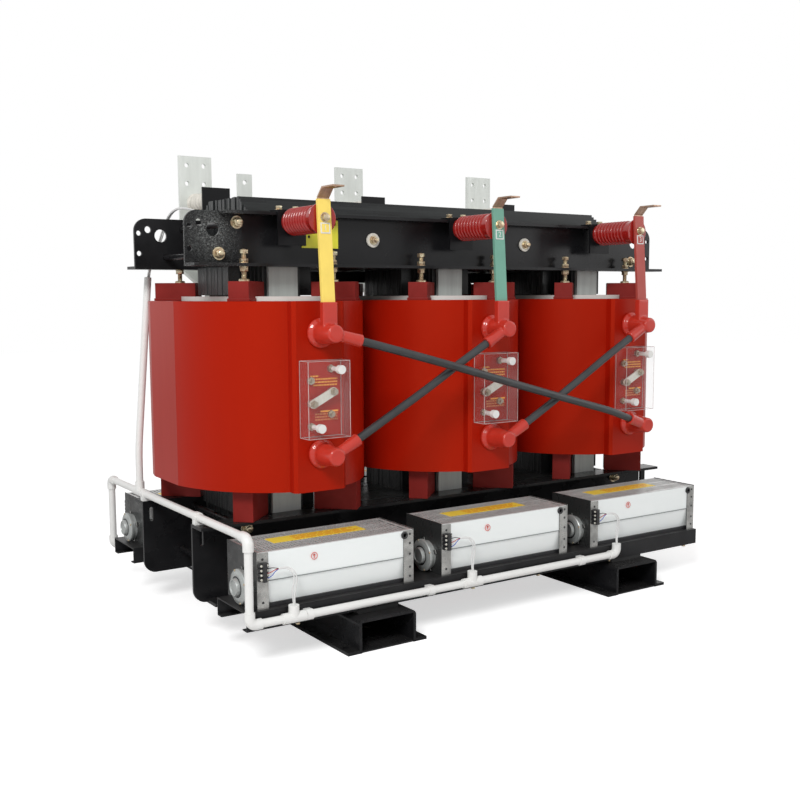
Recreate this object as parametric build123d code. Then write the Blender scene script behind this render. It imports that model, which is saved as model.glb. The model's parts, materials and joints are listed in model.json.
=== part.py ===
"""Three-phase cast resin (dry type) transformer with cross-flow cooling fans.

Millimetres. X runs along the three phases, -Y is the high voltage side, +Z is up.
The origin is the bottom centre of the footprint, on the floor.
"""

from build123d import *
from math import hypot, radians, tan
import os

os.makedirs("parts", exist_ok=True)

# ---- driving dimensions ---------------------------------------------------------------
PITCH = 540.0                       # distance between phase axes
PHASES = (-PITCH, 0.0, PITCH)

FOOT_X = 437.6                      # cross feet
FOOT_HALF_LENGTH = 511.0
FOOT_WIDTH = 168.0
FOOT_FLANGE_WIDTH = 232.0
FOOT_TOP = 84.0
FOOT_SHEET = 8.0
PAD = 10.0

CLAMP_INNER = 174.0                 # |Y| of a clamp web's inner face
CLAMP_SHEET = 8.0
CLAMP_OUTER = CLAMP_INNER + CLAMP_SHEET
CLAMP_HALF_LENGTH = 812.0
FLANGE_REACH = 239.0
TOP_FLANGE_REACH = 222.0
TOP_FLANGE_HALF_LENGTH = 720.0
LOWER_CLAMP = (FOOT_TOP + PAD, 300.0)
UPPER_CLAMP = (946.0, 1084.0)

CORE_HALF_LENGTH = 630.0
LOWER_YOKE = (116.0, 298.0)
UPPER_YOKE_BOTTOM = 948.0
YOKE_STEPS = ((100.0, 1130.0), (130.0, 1108.0), (160.0, 1086.0))   # |Y|, top
LIMB_STEPS = ((90.0, 100.0), (75.0, 130.0), (55.0, 160.0))         # |X|, |Y|
TIE_PLATE = (84.0, 12.0)

COIL = (384.6, 859.3)               # bottom and top of the windings
HV_SEMI = (275.0, 350.0)
HV_FLAT = 267.0
HV_BORE = (197.0, 272.0)
PANEL_FACE = 365.0
PANEL_HALF_WIDTH = 74.0
BARRIER_SEMI = (184.0, 260.0)
BARRIER_SHEET = 4.0
BARRIER = (379.0, 871.0)
LV_OUTER = (152.0, 232.0, 140.0)    # half X, half Y, corner radius
LV_INNER = (102.0, 184.0, 88.0)

BLOCK = (102.0, 56.0)
BLOCK_CENTRE = (112.0, 186.0)
BLOCK_TURN = 40.0
BLOCK_TOP = 909.0
PRESS_BOLT = (129.0, 212.0)

TERMINAL_TOP = 781.0                # high voltage terminals on the panel
TERMINAL_BOTTOM = 480.0
CABLE_RADIUS = 10.5
CABLE_PLANE = 430.0

BAR_WIDTH = 32.0                    # high voltage connection bars
BAR_SHEET = 4.0
BAR_LINE = ((-412.0, 800.0), (-393.0, 1061.0), (-390.0, 1109.0), (-412.0, 1131.0), (-465.0, 1131.0))
SLEEVE_SPAN = (857.0, 1109.0)
INSULATOR_AXIS = 1059.0
INSULATOR_SPAN = (228.0, 386.0)

LV_PLATE = (104.0, 10.0)            # low voltage terminal plates
LV_FACE = 400.0
LV_TOP = 1290.0
LV_HOLE_PITCH = 54.0
LV_HOLE_TOP = 1263.0
LV_INSULATOR_AXIS = 1150.0
LV_BRACKET_FACE = 246.0

TRAY = (300.0, 467.0)               # |Y| of the back and front faces of a fan tray
TRAY_X = (-800.0, 743.0)
TRAY_TOP = 139.0
TRAY_SHEET = 3.0

FAN_CENTRES = (-546.0, -14.0, 519.0)
FAN_LENGTH = 442.5
FAN_Y = (292.0, 455.0)
FAN_TOP = 278.0
FAN_SHEET = 2.0
FAN_AXIS = (392.0, 184.0)           # |Y|, z of the impeller axis
IMPELLER_RADIUS = 32.0
SHAFT_RADIUS = 4.0
SHAFT_CLEARANCE = 0.08
MOTOR_RADIUS = 38.0

CONDUIT_RADIUS = 10.0
FITTING_RADIUS = 13.0
CONDUIT_LOW = 114.5
CONDUIT_HIGH = 319.0
CONDUIT_X = -799.0
CONDUIT_Y = 480.5
TEE_OFFSET = -138.0                 # from a fan's centre


# ---- helpers --------------------------------------------------------------------------
def block(x, y, z):
    """A box between three pairs of limits."""
    sides = [abs(span[1] - span[0]) for span in (x, y, z)]
    middle = [(span[0] + span[1]) / 2 for span in (x, y, z)]
    return Pos(*middle) * Box(*sides)


def rod(start, end, radius):
    """A round bar between two points."""
    axis = Vector(*end) - Vector(*start)
    return Solid.make_cylinder(radius, axis.length, Plane(origin=start, z_dir=axis))


def hexagon(start, direction, across, height):
    """A hexagonal nut or bolt head standing on start."""
    profile = RegularPolygon(across / 2, 6, major_radius=False)
    return extrude(Plane(origin=start, z_dir=direction) * profile, amount=height)


def slab(points, direction, amount):
    """A straight-sided solid from a closed outline of 3-D points."""
    return extrude(Face(Wire.make_polygon(points, close=True)), amount=amount, dir=direction)


def profile_along_x(points, x_span):
    """A solid whose section in the YZ plane is the outline."""
    outline = [(x_span[0], y, z) for y, z in points]
    return slab(outline, (1, 0, 0), x_span[1] - x_span[0])


def strip_outline(line, thickness):
    """The outline of a bent strip of constant thickness, with mitred corners."""
    left, right = [], []
    for index, point in enumerate(line):
        before = line[max(index - 1, 0)]
        after = line[min(index + 1, len(line) - 1)]
        normals = []
        for start, end in ((before, point), (point, after)):
            length = hypot(end[0] - start[0], end[1] - start[1])
            if length > 0:
                normals.append(((start[1] - end[1]) / length, (end[0] - start[0]) / length))
        mean = [sum(parts) / len(normals) for parts in zip(*normals)]
        mitre = thickness / 2 / (mean[0] ** 2 + mean[1] ** 2)
        left.append((point[0] + mean[0] * mitre, point[1] + mean[1] * mitre))
        right.append((point[0] - mean[0] * mitre, point[1] - mean[1] * mitre))
    return left + right[::-1]


def strip(line, thickness, x_span):
    """A bent flat bar: a centre line in the YZ plane, extruded along X."""
    return profile_along_x(strip_outline(line, thickness), x_span)


def cable(name, points, radius):
    """A cable of straight runs joined by tangent arcs as large as the runs allow."""
    vectors = [Vector(*point) for point in points]
    radii = []
    for before, corner, after in zip(vectors, vectors[1:], vectors[2:]):
        turn = radians((corner - before).get_angle(after - corner))
        shorter = min((corner - before).length, (after - corner).length)
        radii.append(0.45 * shorter / tan(turn / 2))
    print(name, "bend radii", [round(value) for value in radii])
    path = FilletPolyline(*points, radius=radii)
    section = Plane(origin=path @ 0, z_dir=path % 0) * Circle(radius)
    return sweep(section, path=path)


def both_sides(shapes):
    """The shapes of the front side and their mirror images at the back."""
    return list(shapes) + [mirror(shape, about=Plane.XZ) for shape in shapes]


def on_phases(shape):
    """One copy of a shape on each phase axis."""
    return [Pos(x, 0, 0) * shape for x in PHASES]


def write(name, shapes):
    """Write one node from all the solids of its shapes."""
    solids = [solid for shape in shapes for solid in shape.solids()]
    export_step(Compound(children=solids), f"parts/{name}.step")


# ---- core -----------------------------------------------------------------------------
def core_limb():
    """One stepped limb, three packets wide."""
    height = UPPER_YOKE_BOTTOM - LOWER_YOKE[1]
    middle = (UPPER_YOKE_BOTTOM + LOWER_YOKE[1]) / 2
    packets = [Pos(0, 0, middle) * Box(2 * x, 2 * y, height) for x, y in LIMB_STEPS]
    return packets[0] + packets[1:]


def yoke(bottom, tops):
    """A stepped yoke: the middle packet is the tallest."""
    packets = [
        block((-CORE_HALF_LENGTH, CORE_HALF_LENGTH), (-y, y), (low, high))
        for (y, high), low in zip(tops, bottom)
    ]
    return packets[0] + packets[1:]


YOKE_BOLTS = [(-270.0, 1022.0), (270.0, 1022.0), (-270.0, 207.0), (270.0, 207.0)]
TIE_RODS = [(side * x, z) for side in (-1, 1) for x, z in ((723, 978), (673, 1057), (662, 272), (700, 150))]
ROD_RADIUS = 8.0
LIFTING_HOLES = ((737.0, 1038.0, 17.5), (773.0, 1054.0, 9.3), (799.0, 1044.0, 7.0), (799.0, 989.0, 7.0))


def bolt_holes(places, radius):
    """Cutting cylinders along Y, through everything."""
    return [rod((x, -300, z), (x, 300, z), radius) for x, z in places]


def make_core():
    write("core_limbs", on_phases(core_limb()))
    upper = yoke([UPPER_YOKE_BOTTOM] * 3, YOKE_STEPS)
    lower_tops = [(y, LOWER_YOKE[1]) for y, _ in YOKE_STEPS]
    lower = yoke([LOWER_YOKE[0], LOWER_YOKE[0] + 22, LOWER_YOKE[0] + 44], lower_tops)
    write("upper_yoke", [upper - bolt_holes(YOKE_BOLTS[:2], 9)])
    write("lower_yoke", [lower - bolt_holes(YOKE_BOLTS[2:], 9)])
    width, sheet = TIE_PLATE
    plate = block((-width / 2, width / 2), (-CLAMP_INNER, sheet - CLAMP_INNER), (160, 1070))
    write("tie_plates", both_sides(on_phases(plate)))


# ---- clamps ---------------------------------------------------------------------------
def clamp_web(span, corner):
    """The upright plate of a front clamp, with two rounded corners per end."""
    low, high = span
    height = high - low
    face = Plane(origin=(0, -CLAMP_INNER, 0), x_dir=(1, 0, 0), z_dir=(0, -1, 0))
    sketch = Pos(0, (low + high) / 2) * Rectangle(2 * CLAMP_HALF_LENGTH, height)
    edge = high if corner == "top" else low
    corners = [v for v in sketch.vertices() if abs(v.Y - edge) < 0.1]
    return extrude(face * fillet(corners, 34), amount=CLAMP_SHEET)


def make_clamps():
    low, high = UPPER_CLAMP
    full = (-CLAMP_HALF_LENGTH, CLAMP_HALF_LENGTH)
    short = (-TOP_FLANGE_HALF_LENGTH, TOP_FLANGE_HALF_LENGTH)
    upper = clamp_web(UPPER_CLAMP, "top")
    upper += block(full, (-FLANGE_REACH, -CLAMP_INNER), (low, low + CLAMP_SHEET))
    upper += block(short, (-TOP_FLANGE_REACH, -CLAMP_INNER), (high - CLAMP_SHEET, high))
    upper -= bolt_holes([YOKE_BOLTS[0], YOKE_BOLTS[1]], 9)
    upper -= bolt_holes([place for place in TIE_RODS if place[1] > 900], ROD_RADIUS + 1)
    for x, z, radius in LIFTING_HOLES:
        upper -= bolt_holes([(-x, z), (x, z)], radius)
    upper -= [
        rod((phase + side * PRESS_BOLT[0], -PRESS_BOLT[1], low - 5),
            (phase + side * PRESS_BOLT[0], -PRESS_BOLT[1], low + 15), 9)
        for phase in PHASES for side in (-1, 1)
    ]
    write("upper_clamp_front", [upper])
    write("upper_clamp_back", [mirror(upper, about=Plane.XZ)])

    low, high = LOWER_CLAMP
    lower = clamp_web(LOWER_CLAMP, "bottom")
    flat = (-CLAMP_HALF_LENGTH + 34, CLAMP_HALF_LENGTH - 34)
    lower += block(full, (-FLANGE_REACH, -CLAMP_INNER), (high - CLAMP_SHEET, high))
    lower += block(flat, (-FLANGE_REACH, -CLAMP_INNER), (low, low + CLAMP_SHEET))
    lower -= bolt_holes(YOKE_BOLTS[2:], 9)
    lower -= bolt_holes([place for place in TIE_RODS if place[1] < 900], ROD_RADIUS + 1)
    for side in (-1, 1):
        slot = Plane(origin=(side * 788, 0, 262), z_dir=(0, -1, 0), x_dir=(1, 0, 0)) * SlotOverall(40, 10, rotation=90)
        lower -= extrude(slot, amount=300)
    write("lower_clamp_front", [lower])
    write("lower_clamp_back", [mirror(lower, about=Plane.XZ)])


def through_bolt(x, z, radius, overhang):
    """A threaded rod through both clamps with a nut at each end."""
    tip = CLAMP_OUTER + overhang
    shaft = rod((x, -tip, z), (x, tip, z), radius)
    nuts = [
        hexagon((x, side * (tip - 4 - radius), z), (0, side, 0), 3 * radius, radius)
        for side in (-1, 1)
    ]
    return shaft + nuts


def make_bolts():
    bolts = []
    for x, z in TIE_RODS:
        bolts.append(through_bolt(x, z, ROD_RADIUS, ROD_RADIUS + 4))
    for x, z in YOKE_BOLTS:
        bolts.append(through_bolt(x, z, 6, 5 + 10))
    write("clamp_bolts", bolts)
    washers = []
    for x, z in YOKE_BOLTS:
        ring = rod((x, -CLAMP_OUTER, z), (x, -CLAMP_OUTER - 5, z), 19.5)
        washers.append(ring - rod((x, -300, z), (x, 300, z), 6))
    write("insulating_washers", both_sides(washers))
    presses = []
    for phase in PHASES:
        for side in (-1, 1):
            x = phase + side * PRESS_BOLT[0]
            y = -PRESS_BOLT[1]
            bolt = rod((x, y, BLOCK_TOP), (x, y, 990), 8)
            bolt += rod((x, y, BLOCK_TOP), (x, y, BLOCK_TOP + 6), 15)
            for nut in (UPPER_CLAMP[0] - 13, UPPER_CLAMP[0] + CLAMP_SHEET, 974):
                bolt += hexagon((x, y, nut), (0, 0, 1), 24, 13)
            presses.append(bolt)
    write("pressing_bolts", both_sides(presses))


# ---- windings -------------------------------------------------------------------------
def rounded(half_x, half_y, radius):
    return RectangleRounded(2 * half_x, 2 * half_y, radius)


def hv_coil():
    """Cast resin winding: an oval cut by side flats, with the connection panel in front."""
    oval = Ellipse(*HV_SEMI) & Rectangle(2 * HV_FLAT, 2 * HV_SEMI[1])
    chamfer = 8.0
    panel = Polygon(
        (-PANEL_HALF_WIDTH, -300), (PANEL_HALF_WIDTH, -300),
        (PANEL_HALF_WIDTH, chamfer - PANEL_FACE), (PANEL_HALF_WIDTH - chamfer, -PANEL_FACE),
        (chamfer - PANEL_HALF_WIDTH, -PANEL_FACE), (-PANEL_HALF_WIDTH, chamfer - PANEL_FACE),
        align=None,
    )
    section = oval + panel - Ellipse(*HV_BORE)
    return Pos(0, 0, COIL[0]) * extrude(section, amount=COIL[1] - COIL[0], dir=(0, 0, 1))


def barrier_tube():
    ring = Ellipse(*BARRIER_SEMI) - Ellipse(BARRIER_SEMI[0] - BARRIER_SHEET, BARRIER_SEMI[1] - BARRIER_SHEET)
    return Pos(0, 0, BARRIER[0]) * extrude(ring, amount=BARRIER[1] - BARRIER[0])


def lv_coil():
    ring = rounded(*LV_OUTER) - rounded(*LV_INNER)
    return Pos(0, 0, COIL[0]) * extrude(ring, amount=COIL[1] - COIL[0])


def support_block(side_x, side_y, span, barrier):
    """A radial block under or over the windings, slotted where the barrier passes."""
    low, high = span
    turn = BLOCK_TURN * side_x * side_y
    place = Pos(side_x * BLOCK_CENTRE[0], side_y * BLOCK_CENTRE[1], (low + high) / 2)
    return place * Rot(0, 0, turn) * Box(*BLOCK, high - low) - barrier


def make_windings():
    coil = hv_coil()
    for letter, x in zip("abc", PHASES):
        write(f"hv_coil_{letter}", [Pos(x, 0, 0) * coil])
    write("lv_coils", on_phases(lv_coil()))
    barrier = barrier_tube()
    write("barrier_tubes", on_phases(barrier))
    for name, span in (("top", (COIL[1], BLOCK_TOP)), ("bottom", (LOWER_CLAMP[1], COIL[0]))):
        blocks = []
        for side_x in (-1, 1):
            for side_y in (-1, 1):
                blocks += on_phases(support_block(side_x, side_y, span, barrier))
        write(f"support_blocks_{name}", blocks)


# ---- high voltage connections ---------------------------------------------------------
def ribbed_insulator(start, end, axis, radius, ribs):
    """A post insulator along Y: alternating ribs and necks, turned about its axis."""
    length = abs(end - start)
    cap = 9.0
    pitch = (length - 2 * cap) / ribs
    neck = radius * 0.72
    points = [(0, 0), (neck, 0), (neck, cap)]
    for index in range(ribs):
        base = cap + index * pitch
        grow = radius * (0.92 + 0.08 * index / (ribs - 1))
        points += [(grow, base + 0.35 * pitch), (grow, base + 0.6 * pitch), (neck, base + pitch)]
    points += [(neck, length), (0, length)]
    body = revolve(Plane.XZ * Polygon(*points, align=None), Axis.Z)
    direction = (0, 1, 0) if end > start else (0, -1, 0)
    return Plane(origin=(0, start, axis), z_dir=direction) * body


def hv_bar():
    """The flat copper bar of one phase, bent forward to its pad."""
    bar = strip(BAR_LINE, BAR_SHEET, (-BAR_WIDTH / 2, BAR_WIDTH / 2))
    bar -= rod((0, -300, 1061), (0, -500, 1061), 5)
    bar -= rod((0, -450, 1100), (0, -450, 1160), 6.5)
    return bar


def sleeve(bar):
    """Insulating sleeve shrunk on the straight part of a bar."""
    low, high = SLEEVE_SPAN
    line = [BAR_LINE[0], BAR_LINE[1], BAR_LINE[2]]
    cover = strip(line, BAR_SHEET + 4, (-BAR_WIDTH / 2 - 2, BAR_WIDTH / 2 + 2))
    cover &= block((-50, 50), (-500, -300), (low, high - 4))
    cover -= rod((0, -300, 1061), (0, -500, 1061), 9)
    return cover - bar


SPOUT = 78.0                        # from a terminal's axis to the end of its boot's spout

# From a top terminal to a bottom terminal, with the points between.
JUMPERS = {
    "jumper_cable_ac": (-PITCH, PITCH, [
        (-359, -452, 733), (-201, -465, 690), (-55, -468, 649), (93, -466, 609),
        (240, -460, 570), (370, -452, 537), (462, -440, 507),
    ]),
    "jumper_cable_ba": (0.0, -PITCH, [(-150, -432, 699), (-260, -433, 634), (-370, -432, 574)]),
    "jumper_cable_cb": (PITCH, 0.0, [(390, -432, 700), (280, -433, 637), (170, -432, 573)]),
}


def spout_end(terminal, towards):
    """Where a cable leaves a boot whose spout points at the cable's next point."""
    terminal = Vector(*terminal)
    return terminal + (Vector(*towards) - terminal).normalized() * SPOUT


BOOT_RADII = (37.0, 28.0, 22.0)      # skirt on the panel, neck and front cap
SPOUT_RADII = (14.0, 16.5)


def boot(terminal, end, bar=None):
    """A rubber boot over one terminal, with a spout for the cable."""
    x, y, z = terminal
    skirt, neck, tip = BOOT_RADII
    root = -PANEL_FACE
    face = y - SPOUT_RADII[1] - 3
    outline = [(0, 0), (skirt, 0), (skirt, 8), (neck, 16), (neck, 30), (tip, root - face - 3),
               (tip - 3, root - face), (0, root - face)]
    body = Plane(origin=(x, root, z), z_dir=(0, -1, 0)) * revolve(Plane.XZ * Polygon(*outline, align=None), Axis.Z)
    axis = Vector(*end) - Vector(*terminal)
    spout = Solid.make_cone(*SPOUT_RADII, axis.length, Plane(origin=terminal, z_dir=axis))
    body += spout
    if bar is not None:
        body += block((x - 20, x + 20), (-420, -402), (z, SLEEVE_SPAN[0]))
        body -= Pos(x, 0, 0) * bar
    return body


def make_hv_connections():
    bar = hv_bar()
    write("hv_bars", on_phases(bar))
    cover = sleeve(bar)
    for name, x in zip(("yellow", "green", "red"), PHASES):
        write(f"sleeve_{name}", [Pos(x, 0, 0) * cover])
    boots = []
    for name, (start_x, end_x, middle) in JUMPERS.items():
        start = (start_x, -CABLE_PLANE, TERMINAL_TOP)
        end = (end_x, -CABLE_PLANE, TERMINAL_BOTTOM)
        first = spout_end(start, middle[0])
        last = spout_end(end, middle[-1])
        write(name, [cable(name, [first] + middle + [last], CABLE_RADIUS)])
        boots.append(boot(start, first, bar))
        boots.append(boot(end, last))
    write("terminal_boots", boots)
    insulator = ribbed_insulator(-INSULATOR_SPAN[0], -INSULATOR_SPAN[1], INSULATOR_AXIS, 38, 9)
    write("post_insulators", on_phases(insulator))
    foot = block((-40, 40), (-INSULATOR_SPAN[0], -184), (UPPER_CLAMP[1], UPPER_CLAMP[1] + 6))
    plate = block((-40, 40), (-INSULATOR_SPAN[0], -TOP_FLANGE_REACH), (1000, UPPER_CLAMP[1] + 6))
    write("insulator_brackets", on_phases(foot + plate))


# ---- tap panel ------------------------------------------------------------------------
TAPS = [(28.0, 692.0), (28.0, 635.0), (28.0, 578.0), (-29.0, 663.5), (-29.0, 606.5), (-29.0, 549.5)]
KNOBS = (TAPS[0], TAPS[5])
LINKED = (TAPS[1], TAPS[4])
COVER_X = 59.0
COVER_Z = (523.0, 714.0)
COVER_FACE = 411.0
COVER_SHEET = 3.0


def make_tap_panel():
    shell = block((-COVER_X, COVER_X), (-COVER_FACE, -PANEL_FACE), COVER_Z)
    inner = COVER_X - COVER_SHEET
    shell -= block((-inner, inner), (COVER_SHEET - COVER_FACE, -PANEL_FACE),
                   (COVER_Z[0] + COVER_SHEET, COVER_Z[1] - COVER_SHEET))
    shell -= [rod((x, -300, z), (x, -500, z), 6.5) for x, z in KNOBS]
    write("tap_covers", on_phases(shell))
    studs = []
    for place in TAPS:
        x, z = place
        length = 30 if place in LINKED else 16
        stud = rod((x, -PANEL_FACE, z), (x, -PANEL_FACE - length, z), 5)
        if place in LINKED:
            stud += hexagon((x, -PANEL_FACE - 18, z), (0, -1, 0), 17, 8)
        stud += hexagon((x, -PANEL_FACE, z), (0, -1, 0), 17, 8)
        studs += on_phases(stud)
    write("tap_studs", studs)
    (x1, z1), (x0, z0) = LINKED
    run = Vector(x1 - x0, 0, z1 - z0)
    middle = ((x0 + x1) / 2, -PANEL_FACE - 14, (z0 + z1) / 2)
    bar = Plane(origin=middle, x_dir=run, z_dir=(0, -1, 0)) * SlotOverall(run.length + 22, 22)
    link = extrude(bar, amount=4)
    link -= [rod((x, -300, z), (x, -500, z), 5) for x, z in LINKED]
    write("tap_links", on_phases(link))
    knobs = []
    for x, z in KNOBS:
        start = -PANEL_FACE - 16
        knob = rod((x, start, z), (x, -COVER_FACE, z), 6) + rod((x, -COVER_FACE, z), (x, -425, z), 11)
        knobs += on_phases(knob)
    write("tap_knobs", knobs)


# ---- low voltage connections ----------------------------------------------------------
def make_lv_connections():
    half, sheet = LV_PLATE[0] / 2, LV_PLATE[1]
    face = LV_FACE
    upright = block((-half, half), (face - sheet, face), (960, LV_TOP))
    for column in (-1, 1):
        for z in (LV_HOLE_TOP, LV_HOLE_TOP - LV_HOLE_PITCH):
            x = column * LV_HOLE_PITCH / 2
            upright -= rod((x, 300, z), (x, 500, z), 7)
    line = [(face - sheet / 2, 965), (face - sheet / 2, 950), (215, 885), (215, COIL[1])]
    lower = strip(line, sheet, (-half, -6))
    write("lv_bars", on_phases(upright + lower))

    bus = block((-PITCH - 20, PITCH + 60), (256, 264), (955, 1005))
    straps = [strip([(218, COIL[1]), (218, 880), (252, 915), (252, 1005)], 8, (x + 6, x + 52)) for x in PHASES]
    riser = strip([(268, 955), (268, 1010), (330, 1090), (330, 1240)], 8, (-432, -384))
    riser -= rod((-408, 200, 1215), (-408, 400, 1215), 7)
    write("neutral_bar", [bus, *straps, riser])

    start, end = LV_BRACKET_FACE, face - sheet
    insulator = ribbed_insulator(start, end, LV_INSULATOR_AXIS, 30, 5)
    write("lv_insulators", on_phases(insulator))
    foot = block((-43, 43), (190, start), (UPPER_CLAMP[1], UPPER_CLAMP[1] + 6))
    plate = block((-43, 43), (start - 6, start), (UPPER_CLAMP[1], 1185))
    write("lv_brackets", on_phases(foot + plate))


# ---- feet and trays -------------------------------------------------------------------
def foot():
    """A pressed channel open below, with bolting flanges on the floor."""
    w, f, t, s = FOOT_WIDTH / 2, FOOT_FLANGE_WIDTH / 2, FOOT_TOP, FOOT_SHEET
    outline = [(-f, 0), (-w + s, 0), (-w + s, t - s), (w - s, t - s), (w - s, 0), (f, 0),
               (f, s), (w, s), (w, t), (-w, t), (-w, s), (-f, s)]
    channel = slab([(x, -FOOT_HALF_LENGTH, z) for x, z in outline], (0, 1, 0), 2 * FOOT_HALF_LENGTH)
    tops = [e for e in channel.edges().filter_by(Axis.Y) if e.center().Z > t - 0.1]
    channel = fillet(tops, 14)
    holes = [
        rod((side * (w + f) / 2, end * (FOOT_HALF_LENGTH - 40), -5),
            (side * (w + f) / 2, end * (FOOT_HALF_LENGTH - 40), s + 5), 7)
        for side in (-1, 1) for end in (-1, 1)
    ]
    return channel - holes


def make_base():
    channel = foot()
    write("foot_left", [Pos(-FOOT_X, 0, 0) * channel])
    write("foot_right", [Pos(FOOT_X, 0, 0) * channel])
    pads = []
    for x in (-FOOT_X, FOOT_X):
        pads.append(block((x - 60, x + 60), (-FLANGE_REACH + 1, -CLAMP_INNER), (FOOT_TOP, FOOT_TOP + PAD)))
        for y in (-TRAY[1] + 1, -TRAY[0] - 24):
            pads.append(block((x - 60, x + 60), (y, y + 22), (FOOT_TOP, FOOT_TOP + PAD)))
    write("foot_pads", both_sides(pads))
    back, front = TRAY
    low, t = FOOT_TOP + PAD, TRAY_SHEET
    outline = [(-front, low), (-front + 24, low), (-front + 24, low + t), (-front + t, low + t),
               (-front + t, TRAY_TOP - t), (-back - t, TRAY_TOP - t), (-back - t, low + t),
               (-back - 24, low + t), (-back - 24, low), (-back, low), (-back, TRAY_TOP), (-front, TRAY_TOP)]
    tray = profile_along_x(outline, TRAY_X)
    write("fan_tray_front", [tray])
    write("fan_tray_back", [mirror(tray, about=Plane.XZ)])


# ---- cross-flow fans ------------------------------------------------------------------
HALF_FAN = FAN_LENGTH / 2
CREASE = 206.0
GRILLE_SLOTS = 22


def fan_housing():
    """The folded sheet shell: bottom, creased front and top lips, open to the grille."""
    back, front = FAN_Y
    t = FAN_SHEET
    shell = [
        (-back - 60, TRAY_TOP), (-front + 14, TRAY_TOP), (-front, CREASE), (-front, FAN_TOP - 4),
        (-front + 8, FAN_TOP - 4), (-front + 8, FAN_TOP - 4 - t), (-front + t, FAN_TOP - 4 - t),
        (-front + t, CREASE + 0.5), (-front + 14 + t, TRAY_TOP + t), (-back - 60, TRAY_TOP + t),
    ]
    half = HALF_FAN - FAN_SHEET
    pieces = profile_along_x(shell, (-half, half))
    guide = [(-back, 222), (-back, FAN_TOP - 4), (-back - 8, FAN_TOP - 4), (-back - 8, FAN_TOP - 4 - t),
             (-back - t, FAN_TOP - 4 - t), (-back - t, 224), (-349, 224), (-349, 222)]
    return [pieces, profile_along_x(guide, (-half, half))]


def end_plates():
    """Both end plates of a fan, each folded to a flange that faces the front."""
    back, front = FAN_Y
    axis_y, axis_z = FAN_AXIS
    plates = []
    for side in (-1, 1):
        outer = side * HALF_FAN
        inner = side * (HALF_FAN - FAN_SHEET)
        plate = block((inner, outer), (-front - 2, -back), (TRAY_TOP, FAN_TOP))
        plate += block((outer - side * 30, outer), (-front - 2, -front), (TRAY_TOP, FAN_TOP - 4))
        hole = 20 if side < 0 else SHAFT_RADIUS + SHAFT_CLEARANCE
        plate -= rod((side * 200, -axis_y, axis_z), (side * 240, -axis_y, axis_z), hole)
        plates.append(plate)
    return plates


def grille():
    """The slotted outlet plate on top of a fan."""
    back, front = FAN_Y
    half = HALF_FAN - FAN_SHEET
    plate = block((-half, half), (-front, -back), (FAN_TOP - 4, FAN_TOP - 2))
    pitch = 2 * (half - 14) / GRILLE_SLOTS
    for index in range(GRILLE_SLOTS):
        x = -half + 14 + (index + 0.5) * pitch
        plate -= block((x - 0.3 * pitch, x + 0.3 * pitch), (-front + 16, -back - 16), (FAN_TOP - 9, FAN_TOP + 1))
    return plate


def motor():
    """The shaded-pole motor on the left end of a fan: shell, hub and mounting ring."""
    y, z = -FAN_AXIS[0], FAN_AXIS[1]
    left = -HALF_FAN
    body = rod((left, y, z), (left - 26, y, z), MOTOR_RADIUS)
    body += rod((left - 26, y, z), (left - 32, y, z), 20)
    body -= rod((left + 5, y, z), (left - 22, y, z), SHAFT_RADIUS + SHAFT_CLEARANCE)
    return body


def impeller():
    """The cross-flow wheel: end discs, a ring of blades and the shaft."""
    y, z = -FAN_AXIS[0], FAN_AXIS[1]
    half = HALF_FAN - FAN_SHEET - 8
    wheel = rod((-HALF_FAN - 18, y, z), (HALF_FAN + 3, y, z), SHAFT_RADIUS)
    for x in (-half, -1.5, half - 3):
        wheel += rod((x, y, z), (x + 3, y, z), IMPELLER_RADIUS)
    blades = 14
    for index in range(blades):
        angle = 360 * index / blades
        blade = Pos(0, 0, IMPELLER_RADIUS - 6) * Rot(35, 0, 0) * Box(2 * half - 2, 1.2, 11)
        wheel += Pos(0, y, z) * Rot(angle, 0, 0) * blade
    return wheel


def make_fans():
    housings, plates, grilles, motors, blocks = [], [], [], [], []
    wheel = impeller()
    for index, x in enumerate(FAN_CENTRES):
        place = Pos(x, 0, 0)
        housings += [place * piece for piece in fan_housing()]
        plates += [place * plate for plate in end_plates()]
        grilles.append(place * grille())
        motors.append(place * motor())
        left = x - HALF_FAN
        blocks.append(block((left + 2, left + 26), (-FAN_Y[1] - 20, -FAN_Y[1] - 2), (208, 252)))
        write(f"impeller_front_{index + 1}", [place * wheel])
        write(f"impeller_back_{index + 1}", [mirror(place * wheel, about=Plane.XZ)])
    write("fan_housings", both_sides(housings))
    write("fan_end_plates", both_sides(plates))
    write("fan_grilles", both_sides(grilles))
    write("fan_motors", both_sides(motors))
    write("terminal_blocks", both_sides(blocks))


# ---- conduit and small cables ---------------------------------------------------------
LEG = 30.0
CLIPS_X = (-644.0, -288.0, 241.0)


def elbow(corner, first, second):
    """A conduit elbow: two short sockets joined by a tight bend."""
    corner = Vector(*corner)
    start = corner + Vector(*first) * LEG
    end = corner + Vector(*second) * LEG
    path = FilletPolyline(start, corner, end, radius=FITTING_RADIUS + 4)
    return sweep(Plane(origin=path @ 0, z_dir=path % 0) * Circle(FITTING_RADIUS), path=path)


def tee(x):
    """A tee on the low run, with its branch pointing up."""
    y, z = -CONDUIT_Y, CONDUIT_LOW
    run = rod((x - LEG, y, z), (x + LEG, y, z), FITTING_RADIUS)
    return run + rod((x, y, z), (x, y, z + LEG), FITTING_RADIUS)


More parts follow.
